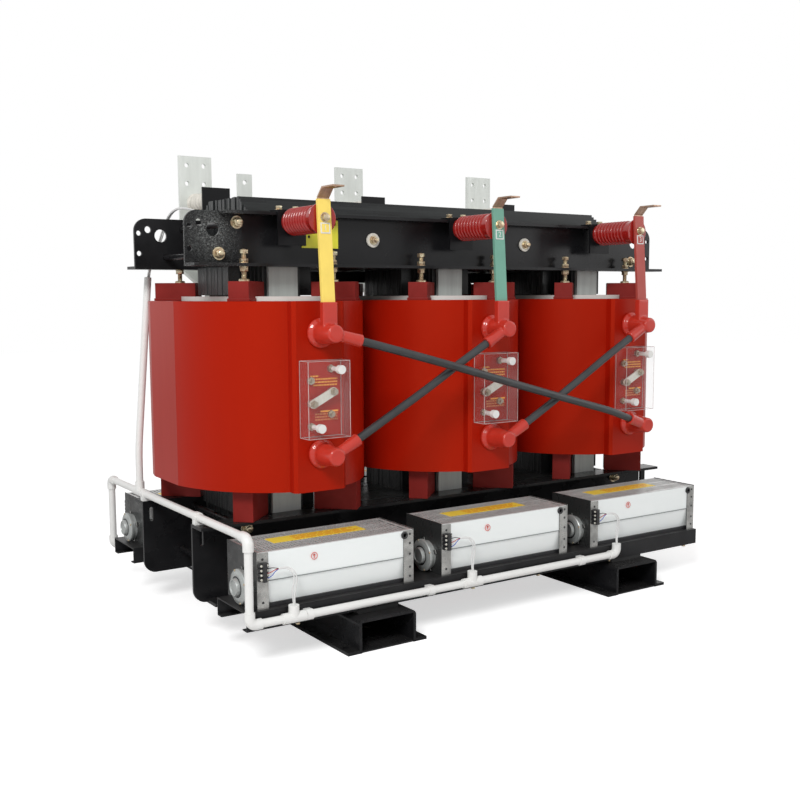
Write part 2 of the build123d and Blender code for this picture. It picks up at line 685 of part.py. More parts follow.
def make_conduit():
    x0, y0, low, high = CONDUIT_X, -CONDUIT_Y, CONDUIT_LOW, CONDUIT_HIGH
    tees = [x + TEE_OFFSET for x in FAN_CENTRES]
    last = tees[-1]
    pipes = [rod((x0, y0, low + LEG), (x0, y0, high - LEG), CONDUIT_RADIUS)]
    stations = [x0] + tees
    for left, right in zip(stations, stations[1:]):
        pipes.append(rod((left + LEG, y0, low), (right - LEG, y0, low), CONDUIT_RADIUS))
    fittings = [
        elbow((x0, y0, low), (0, 0, 1), (1, 0, 0)),
        elbow((x0, y0, high), (0, 0, -1), (0, 1, 0)),
        elbow((last, y0, low), (-1, 0, 0), (0, 0, 1)),
    ]
    fittings += [tee(x) for x in tees[:-1]]
    for x in CLIPS_X:
        clip = block((x - 9, x + 9), (y0, -TRAY[1]), (low - 12, low + 12))
        clip += rod((x - 9, y0, low), (x + 9, y0, low), FITTING_RADIUS)
        fittings.append(clip - rod((x - 20, y0, low), (x + 20, y0, low), CONDUIT_RADIUS))
    y = -CLAMP_OUTER - 6
    saddle = block((x0 - 11, x0 + 11), (y - 9, y + 9), (LOWER_CLAMP[1], high))
    saddle += rod((x0, y - 9, high), (x0, y + 9, high), FITTING_RADIUS)
    fittings.append(saddle - rod((x0, y - 20, high), (x0, y + 20, high), CONDUIT_RADIUS))

    riser_y = 230.0
    branch = rod((x0, riser_y - LEG, high), (x0, riser_y + LEG, high), FITTING_RADIUS)
    branch += rod((x0, riser_y, high), (x0, riser_y, high + LEG), FITTING_RADIUS)
    rail = [rod((x0, y0 + LEG, high), (x0, riser_y - LEG, high), CONDUIT_RADIUS),
            rod((x0, riser_y + LEG, high), (x0, -y0 - LEG, high), CONDUIT_RADIUS)]
    riser_top = (-745.0, 262.0, 925.0)   # behind the winding, clear of the clamp
    riser = cable("riser", [(x0, riser_y, high + LEG), (x0, riser_y, high + 120), riser_top], CONDUIT_RADIUS)
    write("conduit_pipes", both_sides(pipes) + rail + [riser])
    write("conduit_fittings", both_sides(fittings) + [branch])

    leads = []
    for fan, x in zip(FAN_CENTRES, tees):
        block_side = fan - HALF_FAN + 26
        points = [(block_side, -467, 226), (block_side + 20, -467, 226), (block_side + 40, -472, 236),
                  (x + 1, -480, 222), (x + 3, -482, 190), (x, y0, 165), (x, y0, low + LEG)]
        leads.append(cable("fan lead", points, 2.5))
    write("fan_leads", both_sides(leads))

    bundle = [riser_top, (-736, 266, 968), (-711, 262, 1012), (-700, 246, 1062), (-694, 210, 1103),
              (-682, 172, 1118), (-650, 150, 1111), (-606, 145.5, 1094), (-560, 145, 1091.5)]
    write("sensor_cables", [cable("sensor cables", bundle, 5)])


def make_plates():
    """Phase plates under the bar bolts and the stepped plate on the front clamp."""
    plates = []
    width, height = 26.0, 26.0
    low, high = 1022.0, 1048.0
    (y0, z0), (y1, z1) = BAR_LINE[0], BAR_LINE[1]
    for x in PHASES:
        line = [(y0 + (y1 - y0) * (z - z0) / (z1 - z0) - 4.75, z) for z in (low, high)]
        plates.append(strip(line, 1.4, (x - width / 2, x + width / 2)))
    write("phase_plates", plates)
    y = -CLAMP_OUTER
    outline = [(-489, 997), (-380, 997), (-380, 1071), (-420, 1071), (-420, 1036), (-478, 1036),
               (-478, 1018), (-489, 1018)]
    step = slab([(x, y, z) for x, z in outline], (0, -1, 0), 3)
    step -= [rod((x, -150, z), (x, -200, z), 4) for x, z in ((-390, 1061), (-468, 1026))]
    write("marking_plate", [step])


make_core()
make_clamps()
make_bolts()
make_windings()
make_hv_connections()
make_tap_panel()
make_lv_connections()
make_base()
make_fans()
make_conduit()
make_plates()
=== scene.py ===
"""Finishes and small parts of a cast resin transformer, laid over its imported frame."""

import json
import math
import random

import bmesh
import bpy
from bpy.props import FloatProperty, FloatVectorProperty, IntProperty, PointerProperty
from bpy.types import Operator, Panel, PropertyGroup
from mathutils import Matrix, Vector


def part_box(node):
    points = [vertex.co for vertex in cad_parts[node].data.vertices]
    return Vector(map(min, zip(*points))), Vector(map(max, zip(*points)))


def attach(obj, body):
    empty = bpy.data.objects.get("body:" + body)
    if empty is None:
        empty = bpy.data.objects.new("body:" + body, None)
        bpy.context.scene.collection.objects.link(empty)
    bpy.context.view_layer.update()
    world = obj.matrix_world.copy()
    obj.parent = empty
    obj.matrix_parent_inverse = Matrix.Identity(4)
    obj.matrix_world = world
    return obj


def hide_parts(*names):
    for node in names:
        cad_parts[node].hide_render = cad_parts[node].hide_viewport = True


bl_info = {
    "name": "Cast resin transformer finish",
    "version": (1, 0, 0),
    "blender": (4, 5, 0),
    "location": "View3D > Sidebar > Transformer",
    "description": "Materials and small parts for a dry type transformer frame",
    "category": "Object",
}

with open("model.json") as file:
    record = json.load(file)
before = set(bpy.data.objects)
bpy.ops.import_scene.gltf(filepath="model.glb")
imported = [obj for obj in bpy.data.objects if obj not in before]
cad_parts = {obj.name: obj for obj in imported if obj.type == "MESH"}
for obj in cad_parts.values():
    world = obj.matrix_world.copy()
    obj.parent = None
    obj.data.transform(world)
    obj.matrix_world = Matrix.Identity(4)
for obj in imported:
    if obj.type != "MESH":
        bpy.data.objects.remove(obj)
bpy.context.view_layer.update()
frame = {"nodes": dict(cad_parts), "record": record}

BODY = "transformer"
PHASES = (-0.54, 0.0, 0.54)
MM = 0.001
NODE_SLOT = {part["node"]: part["material_slot"] for part in frame["record"]["subparts"]}
UP = (0, 0, 1)
WHITE = (1, 1, 1, 1)
SIGNS = [(first, second) for first in (-1, 1) for second in (-1, 1)]

# distances from the middle plane, heights above the floor, and reaches from a fan's middle
FLANGE_FACE = 0.457
SEAM = (0.2052, 0.2068)
# the dark strips under the fans are painted shadow of the gap between each fan and its tray
GAP_SHADE_DEPTH, GAP_SHADE_HEIGHT = (0.4405, 0.4475), (0.1385, 0.1490)
MARK_HEIGHT = 0.248
FOOT_MIDDLE, FOOT_BOLT_DEPTH = 0.4376, 0.222
TRAY_BOLTS = (-0.66, -0.13, 0.10, 0.38, 0.70)
LV_BOLT_HEIGHT = 1.150
BOARD_DEPTH = (0.164, 0.168)
TABLE_ROWS, TABLE_RULE, NOTE_ROWS = (0.672, 0.6645, 0.657, 0.6495), (0.5835, 0.5875), (0.577, 0.570, 0.563)
STRIP_DEPTH, STRIP_REACH = (0.338, 0.390), (-0.142, 0.120)

# how much of its own white the floor adds where the camera sees it
FLOOR_LIFT = 0.58


# ---- settings --------------------------------------------------------------------------
def colour(name, description, default):
    return FloatVectorProperty(name=name, description=description, default=default, subtype="COLOR",
                               size=3, min=0.0, max=1.0)


class TransformerFinish(PropertyGroup):
    resin: colour("Winding resin", "Cast resin of the high voltage windings", (0.385, 0.010, 0.002))
    block: colour("Support block", "Resin blocks above and below the windings", (0.24, 0.012, 0.008))
    boot: colour("Terminal boot", "Silicone boots on the high voltage terminals", (0.56, 0.035, 0.02))
    insulator: colour("Insulator", "Glossy epoxy of the post insulators", (0.34, 0.012, 0.009))
    paint: colour("Frame paint", "Black paint of clamps, feet and trays", (0.007, 0.007, 0.008))
    lacquer: colour("Core lacquer", "Thick lacquer over the laminations", (0.012, 0.013, 0.014))
    zinc: colour("Yellow zinc", "Passivated zinc of the bolts", (0.66, 0.60, 0.42))
    sleeve_yellow: colour("First phase sleeve", "Sleeve of the first phase", (0.96, 0.72, 0.15))
    sleeve_green: colour("Second phase sleeve", "Sleeve of the second phase", (0.16, 0.38, 0.29))
    sleeve_red: colour("Third phase sleeve", "Sleeve of the third phase", (0.42, 0.065, 0.05))
    conduit: colour("Conduit", "White rigid conduit", (0.82, 0.82, 0.80))
    edge: FloatProperty(name="Edge radius", description="Rounding of folded and cast edges",
                        default=1.5 * MM, min=0.0, unit="LENGTH")
    thread_pitch: FloatProperty(name="Thread pitch", description="Pitch of the bolt threads",
                                default=2.5 * MM, min=0.5 * MM, unit="LENGTH")
    grille_slots: IntProperty(name="Grille slots", description="Slots along each fan outlet",
                              default=38, min=4, max=80)


class TransformerStage(PropertyGroup):
    floor: colour("Floor", "Colour of the floor and the backdrop", (0.86, 0.86, 0.86))
    sky: FloatProperty(name="Sky", description="Strength of the even light from all round", default=0.47, min=0.0)
    key: FloatProperty(name="Key lamp", description="Power of the main lamp", default=145.0, min=0.0, unit="POWER")
    fill: FloatProperty(name="Fill lamp", description="Power of the side lamp", default=18.0, min=0.0, unit="POWER")


def finish_settings():
    return bpy.context.scene.transformer_finish


# ---- shader building -------------------------------------------------------------------
def feed(tree, target, value):
    """An input linked to another node's output, or given a constant."""
    if isinstance(value, bpy.types.NodeSocket):
        tree.links.new(value, target)
    else:
        target.default_value = value


def add(tree, kind, *inputs, **values):
    """A shader node, with its properties and inputs given by name and further inputs in order."""
    node = tree.nodes.new(f"ShaderNode{kind}")
    for name, value in values.items():
        if hasattr(node, name):
            setattr(node, name, value)
        else:
            feed(tree, node.inputs[name.replace("_", " ")], value)
    for target, value in zip(node.inputs, inputs):
        feed(tree, target, value)
    return node


def maths(tree, operation, *inputs, clamp=False):
    return add(tree, "Math", *inputs, operation=operation, use_clamp=clamp).outputs[0]


def ranged(tree, value, **limits):
    """A value brought from one range to another."""
    return add(tree, "MapRange", Value=value, **limits).outputs["Result"]


def blend(tree, share, first, second):
    """Two colours mixed by a share."""
    return add(tree, "Mix", data_type="RGBA", Factor=share, A=first, B=second).outputs["Result"]


def position(tree):
    """Object coordinates, in metres."""
    return add(tree, "TexCoord").outputs["Object"]


def noise(tree, place, **values):
    return add(tree, "TexNoise", Vector=place, **values).outputs["Fac"]


def stretched(tree, stretch):
    """Object coordinates multiplied by a stretch vector."""
    return add(tree, "VectorMath", position(tree), stretch, operation="MULTIPLY").outputs["Vector"]


def mottle(tree, given):
    """Two colours mixed by stretched noise, with the mask given out for roughness."""
    cloud = noise(tree, stretched(tree, given["Stretch"]), Scale=given["Scale"], Detail=6.0, Roughness=0.6)
    gain = maths(tree, "MULTIPLY", given["Contrast"], 4.0)
    strong = maths(tree, "MULTIPLY", maths(tree, "SUBTRACT", cloud, 0.5), gain)
    mask = maths(tree, "ADD", strong, 0.5, clamp=True)
    return {"Colour": blend(tree, mask, given["Colour"], given["Shade"]), "Mask": mask}


def dust(tree, given):
    """Pale dust that settles on faces that look up, broken up by noise."""
    upward = add(tree, "SeparateXYZ", add(tree, "NewGeometry").outputs["Normal"]).outputs["Z"]
    level = ranged(tree, upward, From_Min=0.3, From_Max=1.0)
    patch = maths(tree, "MULTIPLY", level, noise(tree, position(tree), Scale=22.0, Detail=5.0))
    mask = maths(tree, "MULTIPLY", patch, given["Amount"], clamp=True)
    return {"Colour": blend(tree, mask, given["Colour"], given["Dust"]), "Mask": mask}


def relief(tree, given):
    """Fine and coarse relief added into one height."""
    place = stretched(tree, given["Stretch"])
    fine = noise(tree, place, Scale=given["Fine scale"], Detail=3.0)
    coarse = noise(tree, place, Scale=given["Coarse scale"], Detail=2.0)
    mix = add(tree, "Mix", data_type="FLOAT", Factor=given["Coarse share"], A=fine, B=coarse)
    return {"Height": mix.outputs["Result"]}


# each group's name, what builds it, its inputs with their defaults, and its outputs
GREY, BLACK = (0.5, 0.5, 0.5, 1), (0, 0, 0, 1)
MOTTLE = ("Mottle", mottle,
          {"Colour": GREY, "Shade": (0.4, 0.4, 0.4, 1), "Scale": 8.0, "Stretch": (1, 1, 1), "Contrast": 0.5},
          {"Colour": BLACK, "Mask": 0.0})
DUST = ("Settled dust", dust, {"Colour": GREY, "Dust": (0.35, 0.33, 0.3, 1), "Amount": 0.2},
        {"Colour": BLACK, "Mask": 0.0})
RELIEF = ("Relief", relief,
          {"Fine scale": 400.0, "Coarse scale": 12.0, "Coarse share": 0.5, "Stretch": (1, 1, 1)}, {"Height": 0.0})


def grouped(tree, group, **values):
    """A node group placed in a material with its own values; the first use builds it."""
    name, build, inputs, outputs = group
    if name not in bpy.data.node_groups:
        made = bpy.data.node_groups.new(name, "ShaderNodeTree")
        for side, sockets in (("INPUT", inputs), ("OUTPUT", outputs)):
            for label, value in sockets.items():
                kind = "Float" if isinstance(value, float) else "Color" if len(value) == 4 else "Vector"
                socket = made.interface.new_socket(name=label, in_out=side, socket_type=f"NodeSocket{kind}")
                socket.default_value = value
        inner, outer = made.nodes.new("NodeGroupInput"), made.nodes.new("NodeGroupOutput")
        for label, value in build(made, inner.outputs).items():
            made.links.new(value, outer.inputs[label])
    node = tree.nodes.new("ShaderNodeGroup")
    node.node_tree = bpy.data.node_groups[name]
    for label, value in values.items():
        feed(tree, node.inputs[label.replace("_", " ")], value)
    return node


def rgba(rgb):
    return (*rgb, 1.0)


def surface(name, rgb, shade=0.8, scale=6.0, stretch=(1, 1, 1), contrast=0.5, roughness=(0.35, 0.45), bump=0.1,
            depth=0.4 * MM, fine=300.0, coarse=10.0, share=0.5, dust=0.0, extra=None, **shader):
    """A layered finish: mottled colour, settled dust, varied roughness and relief.

    The shade is a colour, or the share of the main colour that it keeps. The extra layer changes
    the colour and the normal last.
    """
    if name in bpy.data.materials:
        return bpy.data.materials[name]
    made = bpy.data.materials.new(name)
    made.use_nodes = True
    tree = made.node_tree
    tree.nodes.clear()
    if isinstance(shade, float):
        shade = [part * shade for part in rgb]
    mottled = grouped(tree, MOTTLE, Colour=rgba(rgb), Shade=rgba(shade), Scale=scale, Stretch=stretch,
                      Contrast=contrast).outputs
    paint = mottled["Colour"]
    if dust:
        paint = grouped(tree, DUST, Colour=paint, Amount=dust).outputs["Colour"]
    height = grouped(tree, RELIEF, Fine_scale=fine, Coarse_scale=coarse, Coarse_share=share, Stretch=stretch)
    normal = add(tree, "Bump", Strength=bump, Distance=depth, Height=height.outputs["Height"]).outputs["Normal"]
    if extra:
        paint, normal = extra(tree, paint, normal)
    varied = ranged(tree, mottled["Mask"], To_Min=roughness[0], To_Max=roughness[1])
    principled = add(tree, "BsdfPrincipled", Base_Color=paint, Roughness=varied, Normal=normal, **shader)
    add(tree, "OutputMaterial", Surface=principled.outputs["BSDF"])
    return made


def wrinkled_coat(tree, paint, normal):
    """A thick, wrinkled coat on the front clamp's left end, with a painted highlight on its crests that is brightest
    round the lifting hole.
    """
    place = position(tree)
    patch = ranged(tree, add(tree, "SeparateXYZ", place).outputs["X"], From_Min=-0.655, From_Max=-0.735)
    wrinkle = noise(tree, place, Scale=210.0, Detail=3.0, Distortion=1.2)
    crest = ranged(tree, wrinkle, From_Min=0.42, From_Max=0.72, To_Min=0.06)
    flat = add(tree, "VectorMath", place, (1, 0, 1), operation="MULTIPLY").outputs["Vector"]
    reach = add(tree, "VectorMath", flat, (-0.735, 0, 1.03), operation="DISTANCE").outputs["Value"]
    glow = ranged(tree, reach, From_Min=0.085, From_Max=0.01, To_Min=0.1)
    sheen = maths(tree, "MULTIPLY", crest, patch)
    # painted highlight: the crests are mixed towards pale grey, most strongly in the glow round the lifting hole
    highlit = blend(tree, maths(tree, "MULTIPLY", sheen, glow), paint, (0.40, 0.42, 0.41, 1))
    coat = add(tree, "Bump", Strength=1.0, Distance=4 * MM, Height=sheen, Normal=normal)
    return highlit, coat.outputs["Normal"]


def end_grime(tree, paint, normal):
    """Painted shade, laid on twice, on the faces that look along the fans: dark grey that stands for the dark
    surroundings those zinc faces reflect.
    """
    along = add(tree, "SeparateXYZ", add(tree, "NewGeometry").outputs["Normal"]).outputs["X"]
    amount = ranged(tree, maths(tree, "ABSOLUTE", along), From_Min=0.5, From_Max=0.9, To_Max=0.85)
    for _ in range(2):
        # painted shade: dark grey mixed in where the normal runs along X
        paint = blend(tree, amount, paint, (0.045, 0.047, 0.047, 1))
    return paint, normal


# ---- the finishes, by material slot; a word for the colour names a setting ---------------
SLEEVE = dict(shade=0.88, scale=14.0, roughness=(0.38, 0.5), bump=0.2, fine=120.0, coarse=18.0)
LABEL = dict(shade=0.92, scale=60.0, roughness=(0.4, 0.5), bump=0.02)
FINISHES = {
    "coil_red": dict(
        rgb="resin", shade=(0.308, 0.0075, 0.0018), scale=2.2, stretch=(1.6, 1.6, 0.25), contrast=0.45,
        roughness=(0.30, 0.42), bump=0.25, depth=1.2 * MM, fine=60.0, coarse=5.0, share=0.75, dust=0.08,
        Specular_IOR_Level=0.5, Specular_Tint=(1.0, 0.22, 0.1, 1)),
    "block_red": dict(
        rgb="block", scale=14.0, contrast=0.7, roughness=(0.5, 0.68), bump=0.35, fine=220.0, coarse=25.0,
        dust=0.12, Specular_IOR_Level=0.25),
    "boot_red": dict(
        rgb="boot", scale=20.0, contrast=0.4, roughness=(0.3, 0.4), bump=0.3, fine=160.0, coarse=30.0,
        Specular_IOR_Level=0.1, Coat_Weight=0.8, Coat_Roughness=0.05),
    "insulator_red": dict(
        rgb="insulator", scale=18.0, roughness=(0.2, 0.32), bump=0.08, Specular_IOR_Level=0.3, Coat_Weight=0.6,
        Coat_Roughness=0.1),
    "frame_black": dict(
        rgb="paint", shade=(0.016, 0.016, 0.017), scale=9.0, contrast=0.6, roughness=(0.2, 0.36), bump=0.2,
        depth=0.5 * MM, fine=260.0, coarse=40.0, share=0.4, dust=0.05, Specular_IOR_Level=0.2),
    # the front clamp's coat, with a painted highlight on its wrinkles
    "clamp_coated": dict(
        rgb="paint", shade=(0.012, 0.012, 0.013), scale=9.0, contrast=0.6, roughness=(0.16, 0.3), bump=0.2,
        fine=260.0, coarse=40.0, share=0.4, dust=0.05, extra=wrinkled_coat, Specular_IOR_Level=0.25),
    "bracket_black": dict(rgb="paint", scale=16.0, roughness=(0.3, 0.42), bump=0.15, Specular_IOR_Level=0.2),
    "tray_black": dict(
        rgb=(0.010, 0.010, 0.011), shade=(0.022, 0.022, 0.023), scale=9.0, contrast=0.6, roughness=(0.3, 0.45),
        bump=0.2, fine=260.0, coarse=40.0, dust=0.06, Specular_IOR_Level=0.2),
    "core_lacquer": dict(
        rgb="lacquer", shade=(0.03, 0.033, 0.033), scale=3.0, stretch=(1.0, 90.0, 1.0), contrast=0.9,
        roughness=(0.2, 0.4), bump=0.6, depth=1.0 * MM, fine=12.0, coarse=3.0, dust=0.06, Specular_IOR_Level=0.3),
    "tie_steel": dict(
        rgb=(0.50, 0.54, 0.52), shade=(0.40, 0.43, 0.42), scale=5.0, stretch=(14, 14, 1), roughness=(0.38, 0.5),
        Metallic=0.2),
    "zinc_yellow": dict(
        rgb="zinc", shade=(0.46, 0.32, 0.20), scale=70.0, contrast=1.0, roughness=(0.2, 0.34), Metallic=0.7),
    "washer_white": dict(rgb=(0.74, 0.71, 0.64), scale=60.0, roughness=(0.4, 0.55)),
    "lv_winding": dict(
        rgb=(0.46, 0.38, 0.28), shade=(0.30, 0.23, 0.16), scale=10.0, stretch=(1, 1, 12), roughness=(0.45, 0.6),
        bump=0.3),
    "barrier_white": dict(
        rgb=(0.74, 0.74, 0.71), shade=(0.62, 0.61, 0.57), scale=12.0, roughness=(0.45, 0.6)),
    "copper": dict(
        rgb=(0.50, 0.33, 0.24), shade=(0.36, 0.24, 0.17), scale=28.0, stretch=(4, 1, 1), contrast=0.8,
        roughness=(0.32, 0.48), Metallic=0.9),
    "sleeve_yellow": dict(SLEEVE, rgb="sleeve_yellow"),
    "sleeve_green": dict(SLEEVE, rgb="sleeve_green"),
    "sleeve_red": dict(SLEEVE, rgb="sleeve_red"),
    "cable_black": dict(
        rgb=(0.018, 0.019, 0.02), shade=(0.04, 0.042, 0.044), scale=9.0, contrast=0.8, roughness=(0.3, 0.5),
        bump=0.35, depth=0.8 * MM, fine=120.0, coarse=22.0),
    "acrylic_clear": dict(
        rgb=(0.80, 0.78, 0.78), roughness=(0.04, 0.08), bump=0.0, Alpha=0.04, Specular_IOR_Level=0.4),
    "acrylic_edge": dict(
        rgb=(0.86, 0.80, 0.78), shade=(0.6, 0.5, 0.48), scale=30.0, roughness=(0.1, 0.2), bump=0.02, Alpha=0.42),
    "stud_brass": dict(
        rgb=(0.50, 0.46, 0.38), shade=(0.34, 0.28, 0.20), scale=80.0, roughness=(0.28, 0.4), Metallic=0.8),
    "link_steel": dict(
        rgb=(0.76, 0.75, 0.68), shade=(0.62, 0.60, 0.53), scale=40.0, stretch=(4, 1, 1), roughness=(0.3, 0.45),
        Metallic=0.5),
    "knob_white": dict(rgb=(0.84, 0.84, 0.81), scale=30.0, roughness=(0.3, 0.42), bump=0.05),
    "bar_tinned": dict(
        rgb=(0.80, 0.83, 0.79), shade=(0.70, 0.73, 0.69), scale=9.0, stretch=(6, 1, 1), contrast=0.6,
        roughness=(0.36, 0.5), bump=0.15, Metallic=0.15),
    "pad_rubber": dict(rgb=(0.02, 0.02, 0.02), roughness=(0.6, 0.75), bump=0.3),
    "fan_silver": dict(
        rgb=(0.95, 0.98, 0.97), shade=(0.88, 0.92, 0.91), scale=3.0, stretch=(1, 6, 6), contrast=0.35,
        roughness=(0.26, 0.38), bump=0.06, Metallic=0.15),
    # its end faces get painted shade through the extra layer
    "fan_zinc": dict(
        rgb=(0.46, 0.46, 0.44), shade=(0.26, 0.26, 0.25), scale=40.0, contrast=0.9, roughness=(0.22, 0.42),
        bump=0.12, extra=end_grime, Metallic=0.5),
    "grille_zinc": dict(
        rgb=(0.74, 0.75, 0.74), shade=(0.56, 0.57, 0.56), scale=35.0, contrast=0.7, roughness=(0.3, 0.45),
        Metallic=0.4),
    "motor_silver": dict(
        rgb=(0.46, 0.48, 0.47), shade=(0.34, 0.36, 0.35), scale=50.0, contrast=0.6, roughness=(0.34, 0.5),
        bump=0.25, fine=260.0, Metallic=0.4),
    "wheel_aluminium": dict(rgb=(0.5, 0.5, 0.5), scale=30.0, roughness=(0.35, 0.5), Metallic=0.8),
    "terminal_black": dict(rgb=(0.02, 0.02, 0.022), scale=40.0, roughness=(0.35, 0.5)),
    "conduit_white": dict(rgb="conduit", shade=0.94, scale=7.0, roughness=(0.3, 0.4), bump=0.05),
    "lead_white": dict(rgb=(0.80, 0.80, 0.79), scale=30.0, roughness=(0.35, 0.5), bump=0.05),
    "plate_white": dict(rgb=(0.80, 0.80, 0.78), scale=40.0, roughness=(0.3, 0.4), bump=0.02),
    "marking_yellow": dict(rgb=(0.80, 0.76, 0.04), scale=22.0, roughness=(0.35, 0.45)),
    "label_orange": dict(LABEL, rgb=(0.80, 0.34, 0.03)),
    "label_amber": dict(LABEL, rgb=(0.95, 0.42, 0.05)),
    "label_russet": dict(LABEL, rgb=(0.62, 0.20, 0.05)),
    "label_yellow": dict(LABEL, rgb=(1.0, 0.74, 0.07)),
    "label_rust": dict(LABEL, rgb=(0.80, 0.30, 0.02)),
    # dark grey for the seam line: painted shade in the fan shell's crease
    "seam_grey": dict(LABEL, rgb=(0.20, 0.22, 0.22)),
    "ink_red": dict(LABEL, rgb=(0.72, 0.12, 0.10)),
    "core_blue": dict(LABEL, rgb=(0.03, 0.09, 0.45)),
    "core_red": dict(LABEL, rgb=(0.45, 0.03, 0.03)),
    "core_dark": dict(LABEL, rgb=(0.03, 0.03, 0.03)),
}


def finish_of(name):
    """The material of a slot or of a named finish."""
    row = dict(FINISHES[name])
    rgb = row.pop("rgb")
    return surface(f"{name}_finish", getattr(finish_settings(), rgb) if isinstance(rgb, str) else rgb, **row)


def soften(piece, sharp, width=0.0):
    """Smooth shading between faces that meet under a sharp angle, and rounded edges."""
    piece.data.polygons.foreach_set("use_smooth", [True] * len(piece.data.polygons))
    piece.data.set_sharp_from_angle(angle=math.radians(sharp))
    if width:
        rounding = piece.modifiers.new("rounded edges", "BEVEL")
        rounding.width = width
        rounding.segments = 2
        rounding.limit_method = "ANGLE"
        rounding.angle_limit = math.radians(40)
        rounding.harden_normals = True


def dress(names, share=0.0):
    """The finish of its slot on each CAD node, with edges rounded by a share of the set radius."""
    for name in names:
        node = frame["nodes"][name]
        material = finish_of("clamp_coated" if name == "upper_clamp_front" else NODE_SLOT[name])
        for place in node.material_slots:
            place.material = material
        soften(node, 32, share * finish_settings().edge)


# ---- mesh building ---------------------------------------------------------------------
def mm(*points):
    """Points of a profile or corners of a box, given in millimetres."""
    return [tuple(part * MM for part in point) for point in points]


class Mesher:
    """Gathers vertices and faces of like parts into one piece."""

    def __init__(self):
        self.points, self.faces = [], []

    def put(self, points, faces, matrix=None):
        start = len(self.points)
        matrix = matrix or Matrix.Identity(4)
        self.points += [matrix @ Vector(point) for point in points]
        self.faces += [[start + index for index in face] for face in faces]

    def lathe(self, profile, steps, matrix, turn=0.0):
        """A closed outline of (radius, height) turned about local Z; radius 0 closes it."""
        points, faces, rings = [], [], []
        for radius, height in profile:
            if radius == 0:
                rings.append([len(points)])
                points.append((0, 0, height))
                continue
            ring = []
            for step in range(steps):
                angle = turn + 2 * math.pi * step / steps
                ring.append(len(points))
                points.append((radius * math.cos(angle), radius * math.sin(angle), height))
            rings.append(ring)
        for low, high in zip(rings, rings[1:]):
            for step in range(steps):
                after = (step + 1) % steps
                if len(low) == 1:
                    faces.append((low[0], high[after], high[step]))
                elif len(high) == 1:
                    faces.append((low[step], low[after], high[0]))
                else:
                    faces.append((low[step], low[after], high[after], high[step]))
        self.put(points, faces, matrix)

    def brick(self, low, high, matrix=None):
        """A box between two corners."""
        points = [(x, y, z) for x in (low[0], high[0]) for y in (low[1], high[1]) for z in (low[2], high[2])]
        faces = [(0, 1, 3, 2), (4, 6, 7, 5), (0, 4, 5, 1), (2, 3, 7, 6), (0, 2, 6, 4), (1, 5, 7, 3)]
        self.put(points, faces, matrix)

    def slab(self, *spans):
        """A box between two limits along each axis, in either order."""
        self.brick(*zip(*(sorted(span) for span in spans)))

    def finish(self, name, slot, finish=None, replaces=(), edge=0.0):
        """The piece: one mesh object with its finish, riding on its body."""
        mesh = bpy.data.meshes.new(name)
        mesh.from_pydata(self.points, [], self.faces)
        check = bmesh.new()
        check.from_mesh(mesh)
        bmesh.ops.recalc_face_normals(check, faces=check.faces)
        check.to_mesh(mesh)
        check.free()
        piece = linked(name, mesh)
        settle(piece, slot, finish, replaces)
        soften(piece, 35, edge)


def linked(name, data):
    """A new object in the scene."""
    piece = bpy.data.objects.new(name, data)
    bpy.context.scene.collection.objects.link(piece)
    return piece


def baked(piece, context):
    """The mesh of an object as its modifiers or its text leave it."""
    return bpy.data.meshes.new_from_object(piece.evaluated_get(context.evaluated_depsgraph_get()))


def settle(piece, slot, finish=None, replaces=()):
    """A piece's finish, its slot, the body it rides on and the nodes it stands for."""
    piece.data.materials.append(finish_of(finish or slot))
    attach(piece, BODY)
    if replaces:
        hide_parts(*replaces)


def facing(origin, direction):
    """A placing matrix whose local Z points along a direction."""
    return Matrix.Translation(origin) @ Vector(direction).to_track_quat("Z", "Y").to_matrix().to_4x4()


def raised(height):
    return Matrix.Translation((0, 0, height))


def solids_of(node):
    """The lowest and highest corners of each separate solid of a CAD node."""
    mesh = frame["nodes"][node].data
    home, parent = {}, {}
    keys = [tuple(round(part, 5) for part in vertex.co) for vertex in mesh.vertices]

    def root(key):
        while parent[key] != key:
            parent[key] = parent[parent[key]]
            key = parent[key]
        return key

    for key in keys:
        parent.setdefault(key, key)
    for face in mesh.polygons:
        first = root(keys[face.vertices[0]])
        for index in face.vertices[1:]:
            parent[root(keys[index])] = first
    for key in parent:
        home.setdefault(root(key), []).append(key)
    boxes = [(Vector(map(min, zip(*group))), Vector(map(max, zip(*group)))) for group in home.values()]
    return sorted(boxes, key=lambda pair: tuple(round(part, 4) for part in pair[0]))


def thread(radius, start, end, pitch):
    """A profile with thread crests between two heights."""
    crests = max(1, int((end - start) / pitch))
    step = (end - start) / crests
    profile = []
    for index in range(crests):
        low = start + index * step
        profile += [(radius * 0.88, low + 0.02 * step), (radius, low + 0.4 * step), (radius, low + 0.62 * step)]
    return profile + [(radius * 0.85, end)]


def nut_profile(across, height, bore=0.0):
    """A chamfered nut or head; the lathe gives it six sides."""
    corner = across / 2 / math.cos(math.pi / 6)
    chamfer = 0.07 * across
    return [(bore, 0), (corner - chamfer * 0.4, 0), (corner, chamfer * 0.5), (corner, height - chamfer * 0.6),
            (corner - chamfer, height), (bore, height)]


def washer_profile(radius, height):
    return [(0, 0), (radius, 0), (radius, height * 0.8), (radius * 0.97, height), (0, height)]


def bolt_head(mesher, place, direction, across, rng):
    """A washer and a hexagon head standing on a face."""
    matrix = facing(place, direction)
    mesher.lathe(washer_profile(across * 0.72, 0.12 * across), 24, matrix)
    mesher.lathe(nut_profile(across, 0.6 * across), 6, matrix @ raised(0.12 * across),
                 turn=rng.uniform(0, math.pi / 3))


# ---- operators: the CAD nodes' finishes -------------------------------------------------
class DressWindings(Operator):
    """Give the windings and barriers their finishes"""
    bl_idname = "transformer.dress_windings"
    bl_label = "Windings"

    def execute(self, context):
        dress(("hv_coil_a", "hv_coil_b", "hv_coil_c"), 2.5)
        dress(("lv_coils", "barrier_tubes"))
        return {"FINISHED"}


